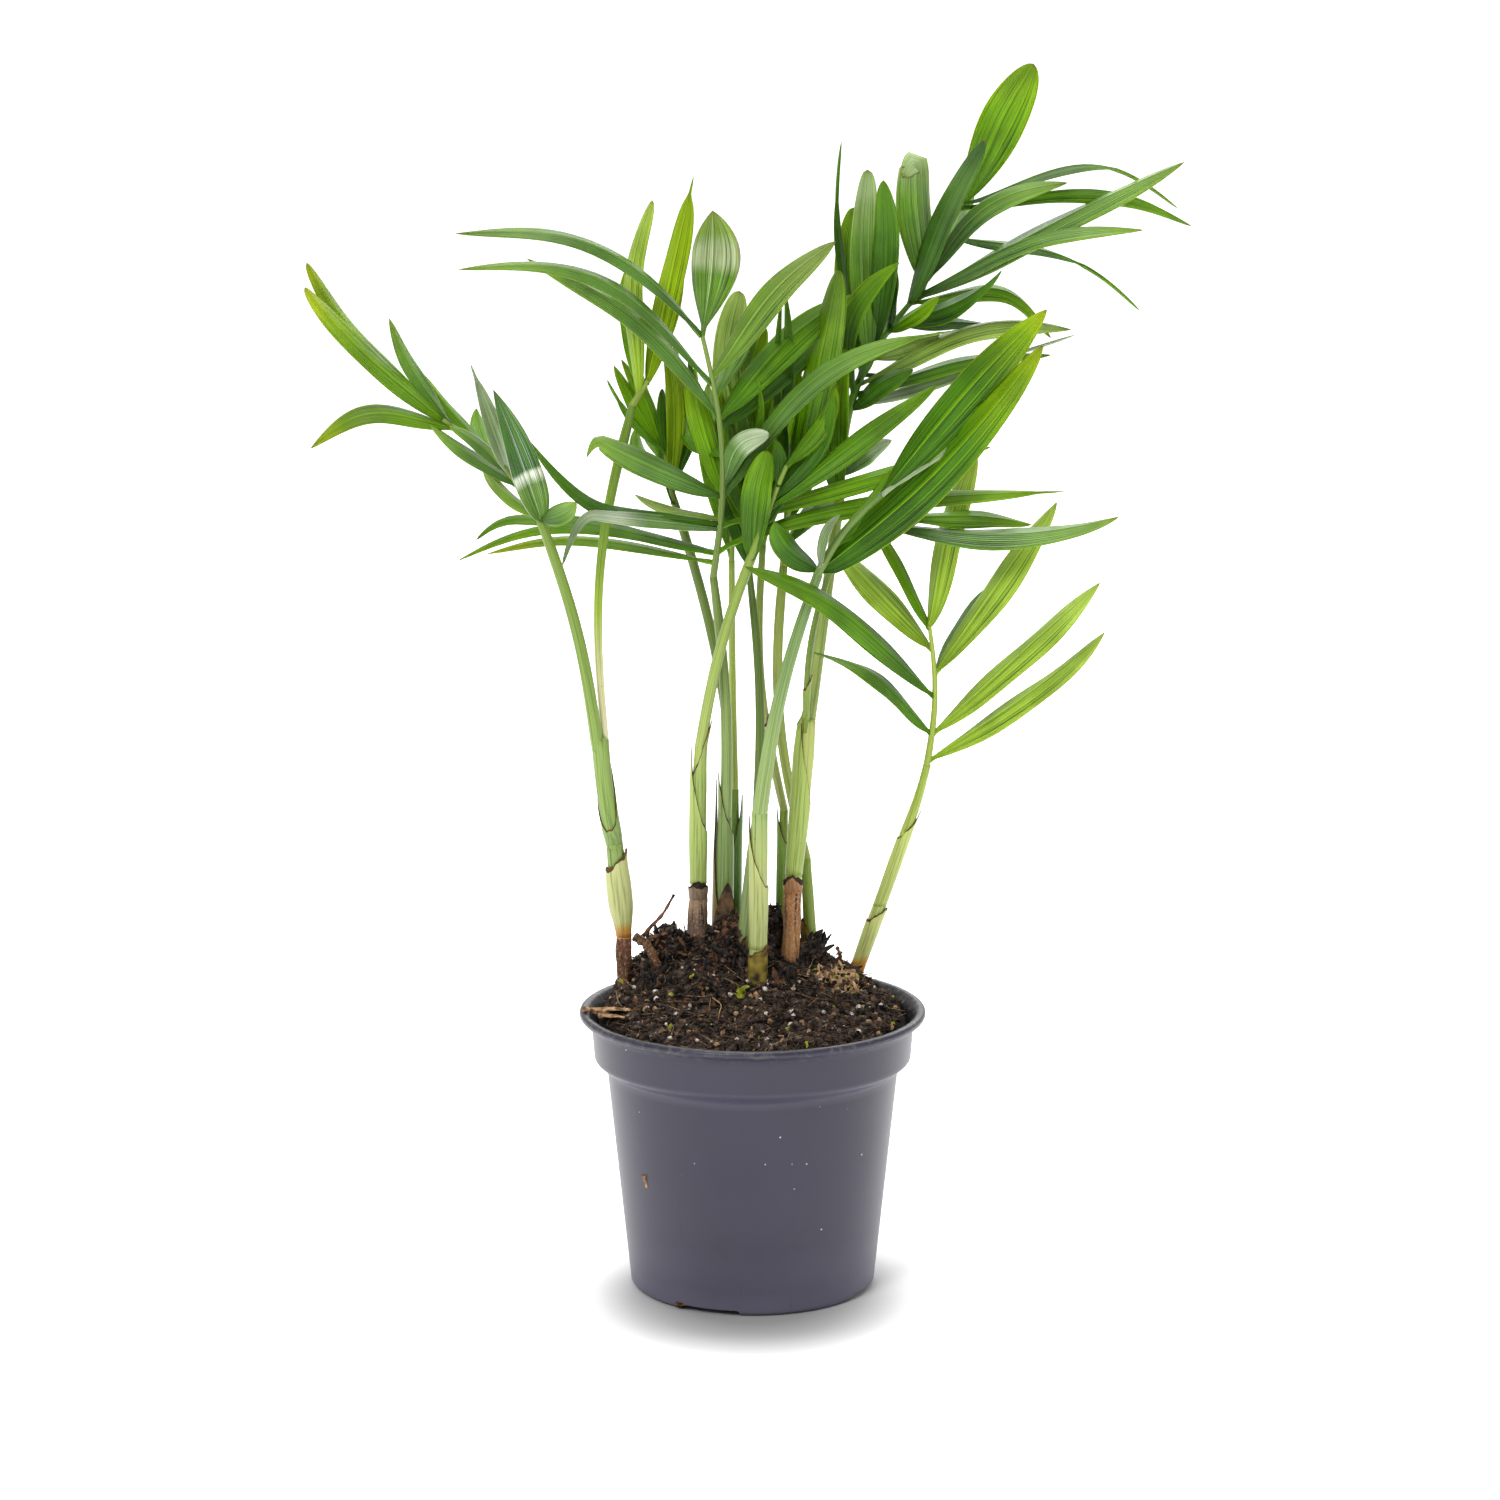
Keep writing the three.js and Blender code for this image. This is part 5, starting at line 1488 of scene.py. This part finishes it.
# Each kind: what it lies on, the bit and its finish, how many to a square metre, its smallest
# and largest scale, its seed, how it may turn, and how far it is lifted, in millimetres.
strew("peat_crumbs", peat_top, crumb, crumb_finish, 620000, 0.6, 2.6, 1, loose)
strew("bark_flakes", peat_top, flake, bit_finishes["bark"], 30000, 0.8, 2.6, 2, loose, 0.5)
strew("perlite", peat_top, crumb, perlite_finish, 15000, 0.5, 2.2, 3, loose, 0.4)
strew("tan_flakes", peat_top, flake, bit_finishes["tan"], 30000, 0.6, 2.4, 11, loose, 0.5)
strew("moss_bits", peat_top, flake, bit_finishes["moss"], 2600, 1.4, 3.2, 4, loose, 0.4)
strew("peat_fibres", peat_top, fibre, dark_fibre, 130000, 0.4, 1.3, 5, level, 0.6)
strew("root_hairs", peat_top, root_hair, hair_finish, 14000, 0.4, 1.3, 6, level, 1.0)
strew("clod_crumbs", clod_cover, crumb, crumb_finish, 420000, 0.6, 2.2, 7, loose)
strew("clod_fibres", clod_cover, fibre, dark_fibre, 130000, 0.4, 1.1, 8, upright, 0.4)
strew("clod_flakes", clod_cover, flake, bit_finishes["bark"], 24000, 0.8, 2.6, 9, loose, 0.5)
strew("clod_hairs", clod_cover, root_hair, hair_finish, 12000, 0.4, 1.0, 10, upright, 0.5)
strew("black_scraps", clod_cover, scrap, bit_finishes["black"], 70000, 0.5, 1.6, 12, loose, 0.8)
strew("bark_scraps", clod_cover, scrap, bit_finishes["bark"], 26000, 0.4, 1.3, 14, loose, 0.8)
strew("tan_scraps", clod_cover, scrap, bit_finishes["tan"], 9000, 0.3, 0.9, 13, loose, 0.8)
strew("dry_crumbs", dry_cover, crumb, crumb_finish, 260000, 0.6, 2.0, 15, loose, 0.3)
strew("dry_fibres", dry_cover, scrap, bit_finishes["tan"], 90000, 0.3, 1.1, 16, loose, 0.6)
strew("dry_moss", dry_cover, flake, bit_finishes["moss"], 24000, 0.8, 2.0, 17, loose, 0.5)

for name, limb in limbs.items():
    make_limb(name, limb)
for number, sheath in enumerate(SHEATHS, 1):
    make_sheath(number, sheath)
make_husk()
seed = LEAFLET_SEED
for name, rib in ribs.items():
    make_frond(name, rib, seed)
    seed += len(rib["leaflets"])

# ---- Studio -----------------------------------------------------------------------------


def from_middle(tree, place):
    """How far a place lies from the middle."""
    return add(tree, "ShaderNodeVectorMath", {0: place}, operation="LENGTH").outputs["Value"]


def make_floor():
    """A white floor fading into the room, with a painted soft shadow under the pot and a painted glow round
    it.
    """
    angle = np.linspace(0, 2 * np.pi, 65)
    reach = np.array([0.0, 400.0, 4000.0, 40000.0])[:, None]
    disc = Skin()
    disc.grid(np.stack([
        reach * np.cos(angle), reach * np.sin(angle), FLOOR_LEVEL + 0 * reach * angle,
    ], axis=-1))
    floor_finish, tree, shader = new_finish("studio_floor", 0.9, Specular_IOR_Level=0.0)
    place = place_in_space(tree, 3)
    white = ramp(tree, grain(tree, place), [(0.3, "#f4f4f4"), (0.7, "#f8f8f8")])
    under_pot = add(tree, "ShaderNodeMapping", {
        "Vector": place, "Location": (0, 0.025, 0), "Scale": (0.86, 0.64, 1),
    }).outputs["Vector"]
    off = from_middle(tree, under_pot)
    # Painted shadow: the floor's colour darkens in an oval under the pot, darkest nearest its foot.
    shadowed = darkened(tree, white, off, [(0.07, "#b4b4b4"), (0.14, "#ffffff")])
    tree.links.new(shadowed, shader.inputs["Base Color"])
    # Painted light: the floor glows, from none in the shadow under the pot to bright far off.
    near = add(tree, "ShaderNodeMapRange", {
        "Value": off, "From Min": 0.1, "From Max": 0.24, "To Max": 0.35,
    })
    far = add(tree, "ShaderNodeMapRange", {
        "Value": from_middle(tree, place), "From Min": 0.3, "From Max": 1.2, "To Max": 0.55,
    })
    glow = maths(tree, "ADD", near.outputs["Result"], far.outputs["Result"])
    tree.links.new(glow, shader.inputs["Emission Strength"])
    mesh = disc.mesh("studio_floor", [floor_finish])
    if mesh.polygons[0].normal.z < 0:
        mesh.flip_normals()
    floor = bpy.data.objects.new("studio_floor", mesh)
    bpy.context.scene.collection.objects.link(floor)


def soft_light(name, place, aim, size, power):
    """A square lamp, aimed at a point; places and sizes are in metres."""
    data = bpy.data.lights.new(name, "AREA")
    data.shape = "SQUARE"
    data.size = size
    data.energy = power
    light = bpy.data.objects.new(name, data)
    light.location = place
    light.rotation_euler = (Vector(aim) - Vector(place)).to_track_quat("-Z", "Y").to_euler()
    bpy.context.scene.collection.objects.link(light)


def make_room():
    """A room that is white to look at, bright behind the plant and dim in front of it."""
    world = bpy.data.worlds.new("studio")
    world.use_nodes = True
    room = world.node_tree
    path = add(room, "ShaderNodeLightPath")
    way = add(room, "ShaderNodeTexCoord").outputs["Generated"]
    away = add(room, "ShaderNodeSeparateXYZ", {"Vector": way}).outputs["Y"]
    backdrop = add(room, "ShaderNodeMapRange", {
        "Value": away, "From Min": -0.2, "From Max": 0.5, "To Min": 0.3, "To Max": 0.8,
    })
    strength = maths(room, "MAXIMUM", path.outputs["Is Camera Ray"], backdrop.outputs["Result"])
    room.links.new(strength, room.nodes["Background"].inputs["Strength"])
    room.nodes["Background"].inputs["Color"].default_value = (1, 1, 1, 1)
    bpy.context.scene.world = world
    bpy.context.scene.view_settings.view_transform = "Standard"


def make_camera():
    """The camera, which looks a little down at the plant from the front."""
    camera = bpy.data.objects.new("camera", bpy.data.cameras.new("camera"))
    pitch = math.radians(CAMERA["pitch"])
    back = Vector((0, -math.cos(pitch), math.sin(pitch)))
    camera.location = Vector(CAMERA["aim"]) * MM + CAMERA["metres_away"] * back
    camera.rotation_euler = (math.pi / 2 - pitch, 0, 0)
    camera.data.lens = CAMERA["lens"]
    camera.data.sensor_width = 36
    camera.data.clip_end = 100
    bpy.context.scene.collection.objects.link(camera)
    bpy.context.scene.camera = camera


make_floor()
soft_light("top_light", (0.0, 0.4, 2.1), (0, 0, 0), 0.9, 31)
soft_light("key_light", (-0.8, -1.5, 1.5), (0, 0, 0.2), 0.7, 23)
soft_light("fill_light", (1.5, -1.0, 1.0), (0, 0, 0.2), 1.2, 6)
soft_light("back_light", (0.3, 1.7, 1.3), (0, 0, 0.25), 1.4, 14)
make_room()
make_camera()
